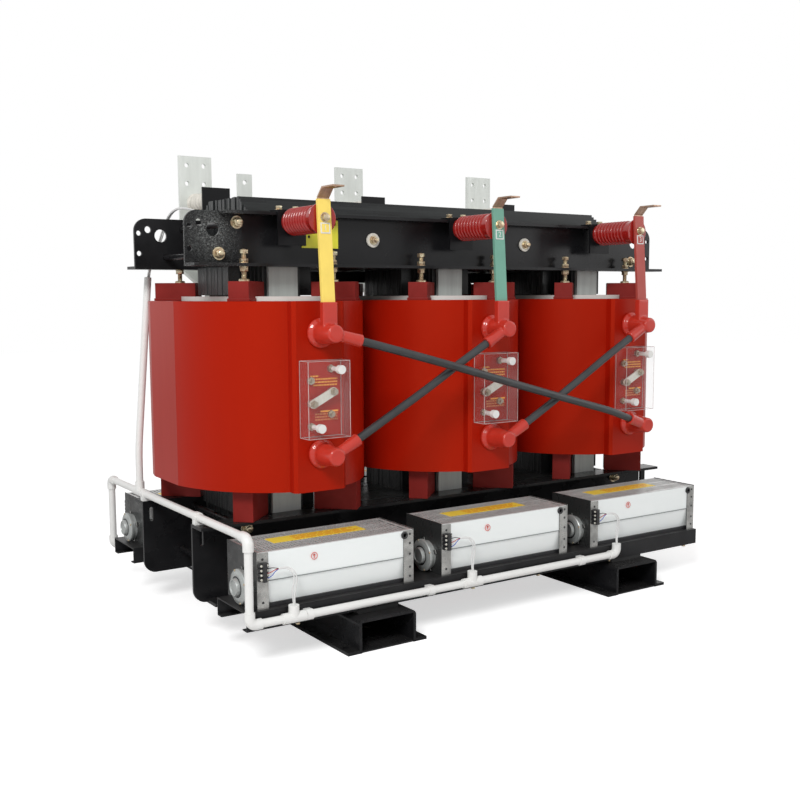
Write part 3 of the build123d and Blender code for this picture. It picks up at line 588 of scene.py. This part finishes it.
class DressCore(Operator):
    """Give the lower yoke, tie plates and clamps their finishes"""
    bl_idname = "transformer.dress_core"
    bl_label = "Core and clamps"

    def execute(self, context):
        dress(("lower_yoke",))
        dress(("tie_plates", "upper_clamp_front", "upper_clamp_back", "lower_clamp_front", "lower_clamp_back"), 1)
        dress(("insulating_washers", "marking_plate"), 0.4)
        return {"FINISHED"}


class DressBase(Operator):
    """Give the feet, pads and fan trays their finishes"""
    bl_idname = "transformer.dress_base"
    bl_label = "Feet and trays"

    def execute(self, context):
        dress(("foot_left", "foot_right"), 2)
        dress(("foot_pads",), 1)
        dress(("fan_tray_front", "fan_tray_back"), 0.5)
        return {"FINISHED"}


class DressConnections(Operator):
    """Give the bars, sleeves, cables and tap panels their finishes"""
    bl_idname = "transformer.dress_connections"
    bl_label = "Connections"

    def execute(self, context):
        dress(("hv_bars", "sleeve_yellow", "sleeve_green", "sleeve_red"), 0.5)
        dress(("insulator_brackets", "lv_brackets", "lv_bars", "neutral_bar"), 0.6)
        dress(("jumper_cable_ac", "jumper_cable_ba", "jumper_cable_cb", "phase_plates"))
        dress(("tap_covers", "tap_studs", "tap_links", "tap_knobs"), 0.4)
        return {"FINISHED"}


class DressFans(Operator):
    """Give the fan shells, end plates and wheels their finishes"""
    bl_idname = "transformer.dress_fans"
    bl_label = "Fans"

    def execute(self, context):
        dress(("fan_housings", "fan_end_plates"), 0.5)
        dress([name for name in frame["nodes"] if name.startswith("impeller_")])
        return {"FINISHED"}


class DressConduit(Operator):
    """Give the conduit and its fittings their finish"""
    bl_idname = "transformer.dress_conduit"
    bl_label = "Conduit"

    def execute(self, context):
        dress(("conduit_pipes",))
        dress(("conduit_fittings",), 1)
        return {"FINISHED"}


# ---- operators: pieces ------------------------------------------------------------------
class PressingBolts(Operator):
    """Make the threaded pressing bolts that hold the windings down"""
    bl_idname = "transformer.pressing_bolts"
    bl_label = "Pressing bolts"

    def execute(self, context):
        rng = random.Random(3)
        flange_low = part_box("upper_clamp_front")[0].z
        flange_high = flange_low + 8 * MM
        radius, across, tall, washer = 6.5 * MM, 19 * MM, 10 * MM, 2 * MM
        foot = mm((0, 0), (14, 0), (14, 4), (12, 6), (5.525, 6))
        mesher = Mesher()
        for low, high in solids_of("pressing_bolts"):
            x, y, _ = (low + high) / 2
            length = high.z - low.z
            shank = thread(radius, 6 * MM, length - 1 * MM, finish_settings().thread_pitch)
            mesher.lathe(foot + shank + [(0, length)], 20, facing((x, y, low.z), UP))
            for height in (flange_low - washer - tall, flange_high + washer, high.z - washer - tall):
                mesher.lathe(nut_profile(across, tall), 6, facing((x, y, height), UP), turn=rng.uniform(0, 1))
            for height in (flange_low - washer, flange_high):
                mesher.lathe(washer_profile(12 * MM, washer), 24, facing((x, y, height), UP))
        mesher.finish("pressing_bolts_threaded", "zinc_yellow", replaces=("pressing_bolts",))
        return {"FINISHED"}


class ClampBolts(Operator):
    """Make the tie rods and yoke bolts with their nuts and washers"""
    bl_idname = "transformer.clamp_bolts"
    bl_label = "Clamp bolts"

    def execute(self, context):
        rng = random.Random(5)
        web, washer = 182 * MM, 2.5 * MM
        ends, rods = Mesher(), Mesher()
        for low, high in solids_of("clamp_bolts"):
            x, _, z = (low + high) / 2
            insulated = high.z - low.z <= 22 * MM
            radius = (6 if insulated else 8) * MM
            across, tall = 2.6 * radius, 1.2 * radius
            reach = 2 * washer + tall + 9 * MM
            shank = thread(radius, 0.5 * MM, reach - 1 * MM, finish_settings().thread_pitch)
            for side in (-1, 1):
                face = web + (5 * MM if insulated else 0)
                place = facing((x, side * face, z), (0, side, 0))
                ends.lathe(washer_profile(across * 0.8, washer), 28, place)
                ends.lathe(washer_profile(across * 0.6, washer), 24, place @ raised(washer))
                ends.lathe(nut_profile(across, tall), 6, place @ raised(2 * washer), turn=rng.uniform(0, 1))
                ends.lathe([(0, 0), (radius * 0.8, 0)] + shank + [(0, reach)], 20, place)
            rods.lathe([(0, 0), (radius, 0), (radius, 2 * web), (0, 2 * web)], 24, facing((x, -web, z), (0, 1, 0)))
        ends.finish("clamp_bolt_ends", "zinc_yellow", replaces=("clamp_bolts",))
        rods.finish("clamp_tie_rods", "frame_black")
        return {"FINISHED"}


class CoreLaminations(Operator):
    """Make the laminated limbs and upper yoke from slightly uneven packets"""
    bl_idname = "transformer.core_laminations"
    bl_label = "Laminated core"

    def execute(self, context):
        rng = random.Random(19)
        packet, depth, gap = 10 * MM, 160 * MM, 0.1 * MM
        limb_low, limb_high = (corner.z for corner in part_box("core_limbs"))
        yoke_low, yoke_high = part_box("upper_yoke")
        limbs, upper = Mesher(), Mesher()
        for layer in range(round(2 * depth / packet)):
            y = -depth + layer * packet
            # 0 in the straight middle of the stack, 1 at its outermost packet
            outer = max(0.0, (max(abs(y), abs(y + packet)) - 100 * MM) / (60 * MM))
            shoulder = 122 * MM if outer < 0.01 else (84 - 29 * outer) * MM
            for x in PHASES:
                half = (90 - 35 * outer) * MM - rng.uniform(0, 1.5 * MM)
                limbs.brick((x - half, y, limb_low), (x + half, y + packet, limb_high))
                half = shoulder - rng.uniform(0, 1.5 * MM)
                for low, high in ((limb_low, limb_low + 70 * MM), (limb_high - 74 * MM, limb_high)):
                    limbs.brick((x - half, y + gap, low), (x + half, y + packet - gap, high))
            top = yoke_high.z - 44 * MM * outer - rng.uniform(0, 2 * MM)
            end = yoke_high.x - rng.uniform(0, 6 * MM)
            upper.brick((-end, y, yoke_low.z), (end, y + packet, top))
        limbs.finish("core_limbs_laminated", "core_lacquer", replaces=("core_limbs",))
        upper.finish("upper_yoke_laminated", "core_lacquer", replaces=("upper_yoke",))
        return {"FINISHED"}


class SupportBlocks(Operator):
    """Make the cast blocks above and below the windings, with lips where they sit on the resin"""
    bl_idname = "transformer.support_blocks"
    bl_label = "Support blocks"

    def execute(self, context):
        half, span, lip, foot = 59 * MM, 27 * MM, 2.5 * MM, 7 * MM
        for name in ("support_blocks_top", "support_blocks_bottom"):
            mesher = Mesher()
            low, high = (corner.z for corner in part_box(name))
            band = (low, low + foot) if name == "support_blocks_top" else (high - foot, high)
            for phase in PHASES:
                for side_x, side_y in SIGNS:
                    x, y, turn = (137, 206, 42) if side_x * side_y < 0 else (114, 192, 45)
                    place = Matrix.Translation((phase + side_x * x * MM, side_y * y * MM, 0))
                    place @= Matrix.Rotation(math.radians(turn) * side_x * side_y, 4, "Z")
                    mesher.brick((-half, -span, low), (half, span, high), place)
                    mesher.brick((-half - lip, -span - lip, band[0]), (half + lip, span + lip, band[1]), place)
            mesher.finish(f"{name}_cast", "block_red", replaces=(name,), edge=1.2 * MM)
        return {"FINISHED"}


class LeadBarriers(Operator):
    """Make the black boards that hang under the back clamp between the low voltage leads"""
    bl_idname = "transformer.lead_barriers"
    bl_label = "Lead barriers"

    def execute(self, context):
        mesher = Mesher()
        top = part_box("upper_clamp_back")[0].z - 0.5 * MM
        block_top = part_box("support_blocks_top")[1].z + 2 * MM
        coil_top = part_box("barrier_tubes")[1].z + 2 * MM
        near, far = BOARD_DEPTH
        for left in PHASES[:2]:
            mesher.brick((left + 200 * MM, near, block_top), (left + 480 * MM, far, top))
            mesher.brick((left + 206 * MM, near, coil_top), (left + 335 * MM, far, block_top + 1 * MM))
        mesher.finish("lead_barrier_boards", "frame_black", edge=0.5 * MM)
        return {"FINISHED"}


class FootSoles(Operator):
    """Make the thin sole plates that close the feet underneath"""
    bl_idname = "transformer.foot_soles"
    bl_label = "Foot soles"

    def execute(self, context):
        mesher = Mesher()
        for name in ("foot_left", "foot_right"):
            low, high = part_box(name)
            middle = (low.x + high.x) / 2
            mesher.brick((middle - 77 * MM, low.y + 1 * MM, low.z + 0.5 * MM),
                         (middle + 77 * MM, high.y - 1 * MM, low.z + 4.5 * MM))
        mesher.finish("foot_sole_plates", "frame_black", edge=1 * MM)
        return {"FINISHED"}


class SmallBolts(Operator):
    """Make the bolts on brackets, bars, trays and feet"""
    bl_idname = "transformer.small_bolts"
    bl_label = "Small bolts"

    def execute(self, context):
        rng = random.Random(7)
        mesher = Mesher()
        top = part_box("upper_clamp_front")[1].z + 6 * MM
        for node, side in (("insulator_brackets", -1), ("lv_brackets", 1)):
            for low, high in solids_of(node):
                y = (low.y if side > 0 else high.y) + side * 18 * MM
                for shift in (-24 * MM, 24 * MM):
                    bolt_head(mesher, ((low.x + high.x) / 2 + shift, y, top), UP, 15 * MM, rng)
        low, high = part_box("post_insulators")
        bar_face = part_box("lv_bars")[1].y
        for x in PHASES:
            bolt_head(mesher, (x, low.y - 11 * MM, (low.z + high.z) / 2 + 2 * MM), (0, -1, 0), 17 * MM, rng)
            bolt_head(mesher, (x, bar_face, LV_BOLT_HEIGHT), (0, 1, 0), 19 * MM, rng)
        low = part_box("fan_tray_front")[0]
        for side in (-1, 1):
            rim = side * abs(low.y + 12 * MM)
            for x in (-FOOT_MIDDLE, FOOT_MIDDLE):
                for shift in (-45 * MM, 45 * MM):
                    bolt_head(mesher, (x + shift, rim, low.z + 3 * MM), UP, 13 * MM, rng)
                    bolt_head(mesher, (x + shift, side * FOOT_BOLT_DEPTH, low.z + 8 * MM), UP, 19 * MM, rng)
            for x in TRAY_BOLTS:
                bolt_head(mesher, (x, rim, low.z), (0, 0, -1), 10 * MM, rng)
        mesher.finish("small_bolts", "zinc_yellow")
        return {"FINISHED"}


def post(mesher, start, end, axis, x, radius, ribs, steps=56):
    """One post insulator along Y: a root collar, thin deep ribs, a plain neck and a wide front disc."""
    length = abs(end - start)
    neck, plain, disc = radius * 0.78, 24 * MM, 5 * MM
    root = 7 * MM
    pitch = (length - root - plain - disc) / ribs
    profile = [(0, 0), (radius * 0.8, 0), (radius * 0.8, root - 1 * MM), (neck, root)]
    for index in range(ribs):
        base = root + index * pitch
        for share, lean in ((0.10, 0.0), (0.24, 0.10), (0.34, 0.80), (0.42, 0.97), (0.5, 1.0), (0.58, 0.97),
                            (0.66, 0.80), (0.76, 0.10), (0.9, 0.0)):
            profile.append((neck + (0.92 * radius - neck) * lean, base + share * pitch))
    edge = length - disc
    profile += [(neck, edge - plain + 1 * MM), (radius * 0.86, edge - plain + 3 * MM), (radius * 0.86, edge - 2 * MM),
                (radius * 0.97, edge), (radius, edge + 1 * MM), (radius, length - 1 * MM),
                (radius * 0.97, length), (0, length)]
    direction = (0, 1 if end > start else -1, 0)
    mesher.lathe(profile, steps, facing((x, start, axis), direction))


class PostInsulators(Operator):
    """Make the ribbed post insulators of both sides"""
    bl_idname = "transformer.post_insulators"
    bl_label = "Post insulators"

    def execute(self, context):
        front, back = Mesher(), Mesher()
        for low, high in solids_of("post_insulators"):
            middle = (low + high) / 2
            post(front, high.y, low.y, middle.z, middle.x, (high.z - low.z) / 2, 9)
        for low, high in solids_of("lv_insulators"):
            middle = (low + high) / 2
            post(back, low.y, high.y, middle.z, middle.x, (high.z - low.z) / 2, 5)
        front.finish("post_insulators_ribbed", "insulator_red", replaces=("post_insulators",))
        back.finish("lv_insulators_ribbed", "washer_white", replaces=("lv_insulators",))
        return {"FINISHED"}


class TerminalBoots(Operator):
    """Make the moulded silicone boots with blended joints"""
    bl_idname = "transformer.terminal_boots"
    bl_label = "Terminal boots"

    def execute(self, context):
        mesh = frame["nodes"]["terminal_boots"].data.copy()
        mesh.name = "terminal_boots_moulded"
        mesh.materials.clear()
        piece = linked("terminal_boots_moulded", mesh)
        piece.modifiers.new("weld", "WELD").merge_threshold = 0.05 * MM
        remesh = piece.modifiers.new("moulded", "REMESH")
        remesh.mode = "VOXEL"
        remesh.voxel_size = 1.6 * MM
        smooth = piece.modifiers.new("blended", "SMOOTH")
        smooth.factor = 0.5
        smooth.iterations = 7
        finished = baked(piece, context)
        piece.modifiers.clear()
        piece.data = finished
        finished.polygons.foreach_set("use_smooth", [True] * len(finished.polygons))
        settle(piece, "boot_red", replaces=("terminal_boots",))
        return {"FINISHED"}


class TapPanels(Operator):
    """Make the printed tables behind the tap covers and the covers' bright edges"""
    bl_idname = "transformer.tap_panels"
    bl_label = "Tap panels"

    def execute(self, context):
        rng = random.Random(11)
        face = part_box("hv_coil_a")[0].y
        lines, rules, faint, edges = Mesher(), Mesher(), Mesher(), Mesher()
        for x, (low, high) in zip(PHASES, solids_of("tap_covers")):
            for row, z in enumerate(TABLE_ROWS):
                start, stop = (-28, -6) if row == 0 else (-20, 48)
                self.words(lines, rng, x + start * MM, x + stop * MM, z, face)
            rules.brick((x - 1 * MM, face - 0.5 * MM, TABLE_RULE[0]), (x + 50 * MM, face + 1 * MM, TABLE_RULE[1]))
            for z in NOTE_ROWS:
                self.words(faint, rng, x - 16 * MM, x + 48 * MM, z, face)
            self.rim(edges, low, high)
        lines.finish("tap_table_lines", "coil_red", "label_orange")
        rules.finish("tap_table_rules", "coil_red", "label_amber")
        faint.finish("tap_table_notes", "coil_red", "label_russet")
        edges.finish("tap_cover_edges", "acrylic_clear", "acrylic_edge")
        return {"FINISHED"}

    def words(self, mesher, rng, start, stop, z, face):
        """A row of short printed bars of uneven length."""
        while start < stop:
            width = min(rng.uniform(3 * MM, 8 * MM), stop - start)
            mesher.brick((start, face - 0.5 * MM, z), (start + width, face + 1 * MM, z + 4 * MM))
            start += width + 1.6 * MM

    def rim(self, mesher, low, high):
        """Thin bars along the twelve edges of a cover."""
        thick, proud = 1.5 * MM, 0.25 * MM
        spans = [(low[axis] - proud, high[axis] + proud) for axis in range(3)]
        for axis in range(3):
            for sides in SIGNS:
                box = [(start, start + thick) if side < 0 else (stop - thick, stop)
                       for (start, stop), side in zip(spans[:axis] + spans[axis + 1:], sides)]
                box.insert(axis, spans[axis])
                mesher.brick(*zip(*box))


class PhaseNumbers(Operator):
    """Make the plain numbers on the phase plates"""
    bl_idname = "transformer.phase_numbers"
    bl_label = "Phase numbers"

    def execute(self, context):
        inks = ("sleeve_yellow", "sleeve_green", "sleeve_red")
        for number, ((low, high), ink) in enumerate(zip(solids_of("phase_plates"), inks), 1):
            middle = (low + high) / 2
            tilt = math.atan2(high.y - low.y - 1.4 * MM, high.z - low.z)
            lean = Matrix.Translation(middle - Vector((0, 0.9 * MM, 0))) @ Matrix.Rotation(-tilt, 4, "X")
            field = Mesher()
            field.brick(*mm((-10, -0.3, -10), (10, 0.4, 10)), lean)
            field.finish(f"phase_field_{number}", ink)
            text = bpy.data.curves.new(f"phase_number_{number}", "FONT")
            text.body = str(number)
            text.size = 19 * MM
            text.align_x = text.align_y = "CENTER"
            text.extrude = 0.2 * MM
            holder = linked("number", text)
            holder.matrix_world = lean @ Matrix.Translation((0, -0.5 * MM, 0)) @ Matrix.Rotation(math.pi / 2, 4, "X")
            context.view_layer.update()
            mesh = baked(holder, context)
            mesh.transform(holder.matrix_world)
            bpy.data.objects.remove(holder)
            piece = linked(f"phase_number_{number}", mesh)
            piece.data.materials.clear()
            settle(piece, "plate_white")
        return {"FINISHED"}


def fan_places():
    """The outlet plate box of each fan, with its side: -1 in front, 1 at the back."""
    return [(low, high, -1 if low.y < 0 else 1) for low, high in solids_of("fan_grilles")]


class FanGrilles(Operator):
    """Make the slotted outlet plates with their plain caution strips"""
    bl_idname = "transformer.fan_grilles"
    bl_label = "Fan outlets"

    def execute(self, context):
        slots, rows, lines = finish_settings().grille_slots, 3, 4
        rim, rib = 9 * MM, 2.5 * MM
        rng = random.Random(17)
        plates, strips, marks = Mesher(), Mesher(), Mesher()
        for low, high, side in fan_places():
            for y in (low.y, high.y - rim):
                plates.brick((low.x, y, low.z), (high.x, y + rim, high.z))
            for x in (low.x, high.x - rim):
                plates.brick((x, low.y + rim, low.z), (x + rim, high.y - rim, high.z))
            for row in range(1, rows):
                y = low.y + rim + row * (high.y - low.y - 2 * rim) / rows
                plates.brick((low.x + rim, y - rib, low.z), (high.x - rim, y + rib, high.z))
            pitch = (high.x - low.x - 2 * rim) / slots
            for index in range(1, slots):
                x = low.x + rim + index * pitch
                plates.brick((x - 0.26 * pitch, low.y + rim, low.z + 0.2 * MM),
                             (x + 0.26 * pitch, high.y - rim, high.z - 0.1 * MM))
            near, far = sorted(side * depth for depth in STRIP_DEPTH)
            left, right = ((low.x + high.x) / 2 + reach for reach in STRIP_REACH)
            strips.brick((left, near, high.z - 0.2 * MM), (right, far, high.z + 0.5 * MM))
            for row in range(1, lines + 1):
                y = near + row * (far - near) / (lines + 1)
                start = left + 64 * MM
                stop = right - rng.uniform(12 * MM, 40 * MM)
                while start < stop:
                    width = rng.uniform(8 * MM, 30 * MM)
                    end = min(start + width, stop)
                    marks.brick((start, y - 2.6 * MM, high.z), (end, y + 2.6 * MM, high.z + 0.8 * MM))
                    start += width + 4 * MM
        plates.finish("fan_outlet_plates", "grille_zinc", replaces=("fan_grilles",))
        strips.finish("fan_caution_strips", "grille_zinc", "label_yellow")
        marks.finish("fan_caution_lines", "grille_zinc", "label_rust")
        return {"FINISHED"}


class FanMotors(Operator):
    """Make the end motors: brackets, ringed covers, hubs and screws"""
    bl_idname = "transformer.fan_motors"
    bl_label = "Fan motors"

    def execute(self, context):
        cases, brackets, screws, dark = Mesher(), Mesher(), Mesher(), Mesher()
        for low, high in solids_of("fan_motors"):
            middle = (low + high) / 2
            place = facing((high.x, middle.y, middle.z), (-1, 0, 0))
            depth = (high.x - low.x) / MM
            cases.lathe(mm((0, 0), (38, 0), (38, 12), (43, 13), (43, 18), (41, 20), (37, 20.5), (35, 22),
                           (26.66, 23), (24.51, 22), (22.36, 22), (21.93, 28), (20.21, depth), (17.2, depth),
                           (16.34, depth - 2.5), (0, depth - 2.5)), 56, place)
            # painted shade: a black ring laid in the cover's groove
            dark.lathe(mm((22.79, 22.4), (26.23, 22.4), (26.23, 23.4), (22.79, 23.2), (22.79, 22.4)), 56, place)
            for angle in (0.35, 1.92, 3.49, 5.06):
                lug = place @ Matrix.Rotation(angle, 4, "Z")
                brackets.brick(*mm((35, -6, 2), (46, 6, 5)), lug)
                spot = lug @ Matrix.Translation((40 * MM, 0, 18 * MM))
                screws.lathe(mm((0, 0), (2.8, 0), (2.8, 2.8), (1.8, 3.8), (0, 4)), 16, spot)
        cases.finish("fan_motor_cases", "motor_silver", replaces=("fan_motors",))
        brackets.finish("fan_motor_brackets", "fan_zinc", edge=0.6 * MM)
        screws.finish("fan_motor_screws", "zinc_yellow")
        dark.finish("fan_motor_vents", "terminal_black")
        return {"FINISHED"}


class FanFittings(Operator):
    """Make the hole discs, grommets, seam lines, gap strips and rotation marks of the fans; discs, seam lines and
    strips are painted shade
    """
    bl_idname = "transformer.fan_fittings"
    bl_label = "Fan fittings"

    def execute(self, context):
        hole_shades, grommets, seam_shades, gap_shades, stamps = Mesher(), Mesher(), Mesher(), Mesher(), Mesher()
        bottom, top = (corner.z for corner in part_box("fan_end_plates"))
        for low, high, side in fan_places():
            face = (low.y if side < 0 else high.y) + side * 2 * MM
            outward = (0, side, 0)
            for x, heights in ((low.x + 13 * MM, (16, 120)), (high.x - 9 * MM, (16, 40, 74, 102, 126))):
                for height in heights:
                    place = facing((x, side * FLANGE_FACE, bottom + height * MM), outward)
                    # painted shade: black discs fill each flange hole
                    hole_shades.lathe(mm((0, -0.5), (3.2, -0.5), (3.2, 0.3), (0, 0.3)), 16, place)
            ring = facing((high.x - 25 * MM, side * FLANGE_FACE, top - 15 * MM), outward)
            grommets.lathe(mm((4.5, -2), (9.5, -2), (9.5, 1), (8, 2), (5.5, 2), (4.5, 1), (4.5, -2)), 28, ring)
            grommets.lathe(mm((0, -1.5), (5, -1.5), (5, 0), (0, 0)), 20, ring)
            # painted shade: the seam line along the shell's crease is dark grey
            seam_shades.slab((low.x + 28 * MM, high.x - 28 * MM), (face - side * 3 * MM, face + side * 0.6 * MM), SEAM)
            # painted shadow: a black strip in front of the gap under the fan
            gap_shades.slab((low.x + 2 * MM, high.x - 2 * MM), [side * depth for depth in GAP_SHADE_DEPTH], GAP_SHADE_HEIGHT)
            self.mark(stamps, facing(((low.x + high.x) / 2 - 68 * MM, face, MARK_HEIGHT), outward))
        hole_shades.finish("fan_flange_holes", "terminal_black")
        grommets.finish("fan_grommets", "terminal_black")
        seam_shades.finish("fan_seams", "fan_silver", "seam_grey")
        gap_shades.finish("fan_seals", "terminal_black", edge=1 * MM)
        stamps.finish("fan_rotation_marks", "fan_silver", "ink_red")
        return {"FINISHED"}

    def mark(self, mesher, place):
        """A thin inked ring with an arrow, which shows the sense of rotation."""
        mesher.lathe(mm((7.6, -0.3), (9, -0.3), (9, 0.35), (7.6, 0.35), (7.6, -0.3)), 40, place)
        mesher.brick(*mm((-1, -5, -0.3), (1, 5, 0.35)), place)
        for turn in (-0.7, 0.7):
            head = place @ Matrix.Translation((0, 5 * MM, 0)) @ Matrix.Rotation(turn, 4, "Z")
            mesher.brick(*mm((-0.7, -5, -0.3), (0.7, 0, 0.35)), head)


class TerminalBlocks(Operator):
    """Make the terminal blocks with their poles and screws"""
    bl_idname = "transformer.terminal_blocks"
    bl_label = "Terminal blocks"

    def execute(self, context):
        poles = 4
        bodies, screws = Mesher(), Mesher()
        for low, high in solids_of("terminal_blocks"):
            side = -1 if low.y < 0 else 1
            outer = low.y if side < 0 else high.y
            near = outer - side * 7 * MM
            step = (high.z - low.z) / poles
            bodies.brick((low.x + 7 * MM, low.y, low.z), (high.x - 7 * MM, high.y, high.z))
            for index in range(poles):
                base = low.z + index * step
                for left, right in ((low.x, low.x + 9 * MM), (high.x - 9 * MM, high.x)):
                    bodies.slab((left, right), (near, outer - side * 20 * MM), (base + 1 * MM, base + step - 1 * MM))
                    place = facing(((left + right) / 2, near, base + step / 2), (0, side, 0))
                    screws.lathe(mm((0, 0), (3, 0), (3, 1.8), (2.4, 2.4), (0, 2.4)), 16, place)
        bodies.finish("terminal_block_bodies", "terminal_black", replaces=("terminal_blocks",), edge=0.6 * MM)
        screws.finish("terminal_block_screws", "link_steel")
        return {"FINISHED"}


def wire(name, points, radius, finish=None, replaces=()):
    """A round wire on one smooth curve through a list of points."""
    curve = bpy.data.curves.new(name, "CURVE")
    curve.dimensions = "3D"
    curve.bevel_depth = radius
    curve.bevel_resolution = 3
    curve.resolution_u = 8
    curve.use_fill_caps = True
    line = curve.splines.new("NURBS")
    line.points.add(len(points) - 1)
    for point, place in zip(line.points, points):
        point.co = (*place, 1.0)
    line.order_u = 3
    line.use_endpoint_u = True
    settle(linked(name, curve), "lead_white", finish, replaces)


class FanLeads(Operator):
    """Make the fan leads from the terminal blocks down to the conduit"""
    bl_idname = "transformer.fan_leads"
    bl_label = "Fan leads"

    def execute(self, context):
        count = 0
        for (low, high), block in zip(solids_of("fan_leads"), solids_of("terminal_blocks")):
            side = -1 if low.y < 0 else 1
            gather = Vector((low.x + 24 * MM, side * 0.470, 0.235))  # where the cores meet the leads
            x = high.x - 3 * MM
            for shift in (-1.6 * MM, 1.6 * MM):
                points = [gather, gather + Vector((16 * MM, side * 2 * MM, 2 * MM + shift)),
                          (x - 6 * MM + shift, side * 0.4815, 0.232 + shift),
                          (x + 5 * MM + 2 * shift, side * 0.4815, 0.212 + shift),
                          (x - 2 * MM + 3 * shift, side * 0.481, 0.180),
                          (x - 2 * MM + shift, side * 0.4805, 0.160),
                          (x + shift, side * 0.4805, low.z - 8 * MM)]
                count += 1
                wire(f"fan_lead_{count}", points, 1.8 * MM, replaces=("fan_leads",) if count == 1 else ())
            for index, ink in enumerate(("core_blue", "core_red", "core_dark")):
                pole = Vector((block[1].x - 5 * MM, side * 0.469, block[0].z + (8 + 11 * index) * MM))
                points = [pole, pole + Vector((9 * MM, side * 4 * MM, 3 * MM)),
                          gather + Vector((-8 * MM, side * 1 * MM, (index - 1) * 3 * MM)),
                          gather + Vector((3 * MM, 0, 0))]
                wire(f"fan_core_{count}_{index + 1}", points, 1.0 * MM, ink)
        return {"FINISHED"}


class SensorCables(Operator):
    """Make the temperature sensor cables from the riser to the core"""
    bl_idname = "transformer.sensor_cables"
    bl_label = "Sensor cables"

    def execute(self, context):
        route = mm((-745, 262, 915), (-736, 266, 968), (-711, 262, 1012), (-700, 246, 1062), (-694, 210, 1103),
                   (-682, 172, 1118), (-650, 150, 1111), (-606, 145.5, 1094), (-565, 145, 1091.5))
        for index in range(4):
            angle = 2 * math.pi * index / 4 + 0.4
            offset = Vector((math.cos(angle), math.sin(angle), 0.4 * math.sin(angle))) * 2.9 * MM
            points = [Vector(place) + Matrix.Rotation(0.35 * index * step, 3, "Z") @ offset
                      for step, place in enumerate(route)]
            wire(f"sensor_cable_{index + 1}", points, 2.0 * MM, replaces=("sensor_cables",) if index == 0 else ())
        return {"FINISHED"}


# ---- stage ------------------------------------------------------------------------------
class StageAndCamera(Operator):
    """Make the floor, the lamps, the world and the camera"""
    bl_idname = "transformer.stage"
    bl_label = "Stage and camera"

    def execute(self, context):
        settings = context.scene.transformer_stage
        context.scene.view_settings.view_transform = "Standard"
        self.floor(settings)
        self.world(context, settings)
        self.lamp("key", (-3.2, -3.0, 3.4), 1.6, settings.key)
        self.lamp("fill", (3.4, -2.6, 2.0), 2.6, settings.fill)
        self.camera(context)
        return {"FINISHED"}

    def floor(self, settings):
        mesh = bpy.data.meshes.new("floor")
        half = 14.0
        mesh.from_pydata([(-half, -half, 0), (half, -half, 0), (half, half, 0), (-half, half, 0)], [], [(0, 1, 2, 3)])
        made = bpy.data.materials.new("floor_pale")
        made.use_nodes = True
        tree = made.node_tree
        tree.nodes.clear()
        lift = maths(tree, "MULTIPLY", add(tree, "LightPath").outputs["Is Camera Ray"], FLOOR_LIFT)
        shader = add(tree, "BsdfPrincipled", Base_Color=rgba(settings.floor), Roughness=0.9, Specular_IOR_Level=0.1,
                     Emission_Color=WHITE, Emission_Strength=lift)
        add(tree, "OutputMaterial", Surface=shader.outputs["BSDF"])
        mesh.materials.append(made)
        floor = linked("floor", mesh)

    def world(self, context, settings):
        world = bpy.data.worlds.new("studio")
        context.scene.world = world
        world.use_nodes = True
        tree = world.node_tree
        tree.nodes.clear()
        light, white = (add(tree, "Background", Color=WHITE, Strength=strength).outputs[0]
                        for strength in (settings.sky, 1.0))
        rays = add(tree, "LightPath").outputs
        seen = maths(tree, "MAXIMUM", rays["Is Camera Ray"], rays["Is Transmission Ray"])
        mix = add(tree, "MixShader", maths(tree, "MAXIMUM", seen, rays["Is Glossy Ray"]), light, white)
        add(tree, "OutputWorld", Surface=mix.outputs[0])

    def lamp(self, name, place, size, power):
        data = bpy.data.lights.new(name, "AREA")
        data.shape = "DISK"
        data.size = size
        data.energy = power
        lamp = linked(name, data)
        lamp.location = place
        lamp.rotation_mode = "QUATERNION"
        lamp.rotation_quaternion = (Vector((0, 0, 0.6)) - Vector(place)).to_track_quat("-Z", "Y")

    def camera(self, context):
        data = bpy.data.cameras.new("camera")
        data.sensor_width, data.lens = 36.0, 46.96
        data.shift_x, data.shift_y = -0.0155, 0.0095
        data.clip_start, data.clip_end = 0.05, 100.0
        camera = linked("camera", data)
        yaw, pitch, roll = (math.radians(angle) for angle in (34.18, 6.20, -0.20))
        ahead = Vector((math.sin(yaw) * math.cos(pitch), math.cos(yaw) * math.cos(pitch), -math.sin(pitch)))
        upright = ahead.to_track_quat("-Z", "Y").to_matrix().to_4x4()
        place = Matrix.Translation((-1.80297, -2.63136, 0.87519))
        camera.matrix_world = place @ upright @ Matrix.Rotation(roll, 4, "Z")
        context.scene.camera = camera


STEPS = (DressWindings, DressCore, DressBase, DressConnections, DressFans, DressConduit, CoreLaminations,
         SupportBlocks, LeadBarriers, FootSoles, PressingBolts, ClampBolts, SmallBolts, PostInsulators,
         TerminalBoots, TapPanels, PhaseNumbers, FanGrilles, FanMotors, FanFittings, TerminalBlocks, FanLeads,
         SensorCables, StageAndCamera)


class TransformerPanel(Panel):
    """The transformer's finishes and pieces"""
    bl_idname = "VIEW3D_PT_transformer"
    bl_label = "Transformer"
    bl_space_type = "VIEW_3D"
    bl_region_type = "UI"
    bl_category = "Transformer"

    def draw(self, context):
        column = self.layout.column()
        for group in (context.scene.transformer_finish, context.scene.transformer_stage):
            for name in group.__annotations__:
                column.prop(group, name)
        for step in STEPS:
            column.operator(step.bl_idname)


CLASSES = (TransformerFinish, TransformerStage, *STEPS, TransformerPanel)


def register():
    for item in CLASSES:
        bpy.utils.register_class(item)
    bpy.types.Scene.transformer_finish = PointerProperty(type=TransformerFinish)
    bpy.types.Scene.transformer_stage = PointerProperty(type=TransformerStage)


def unregister():
    del bpy.types.Scene.transformer_stage
    del bpy.types.Scene.transformer_finish
    for item in reversed(CLASSES):
        bpy.utils.unregister_class(item)


def main():
    register()
    for step in STEPS:
        group, name = step.bl_idname.split(".")
        getattr(getattr(bpy.ops, group), name)()


if __name__ == "__main__":
    main()
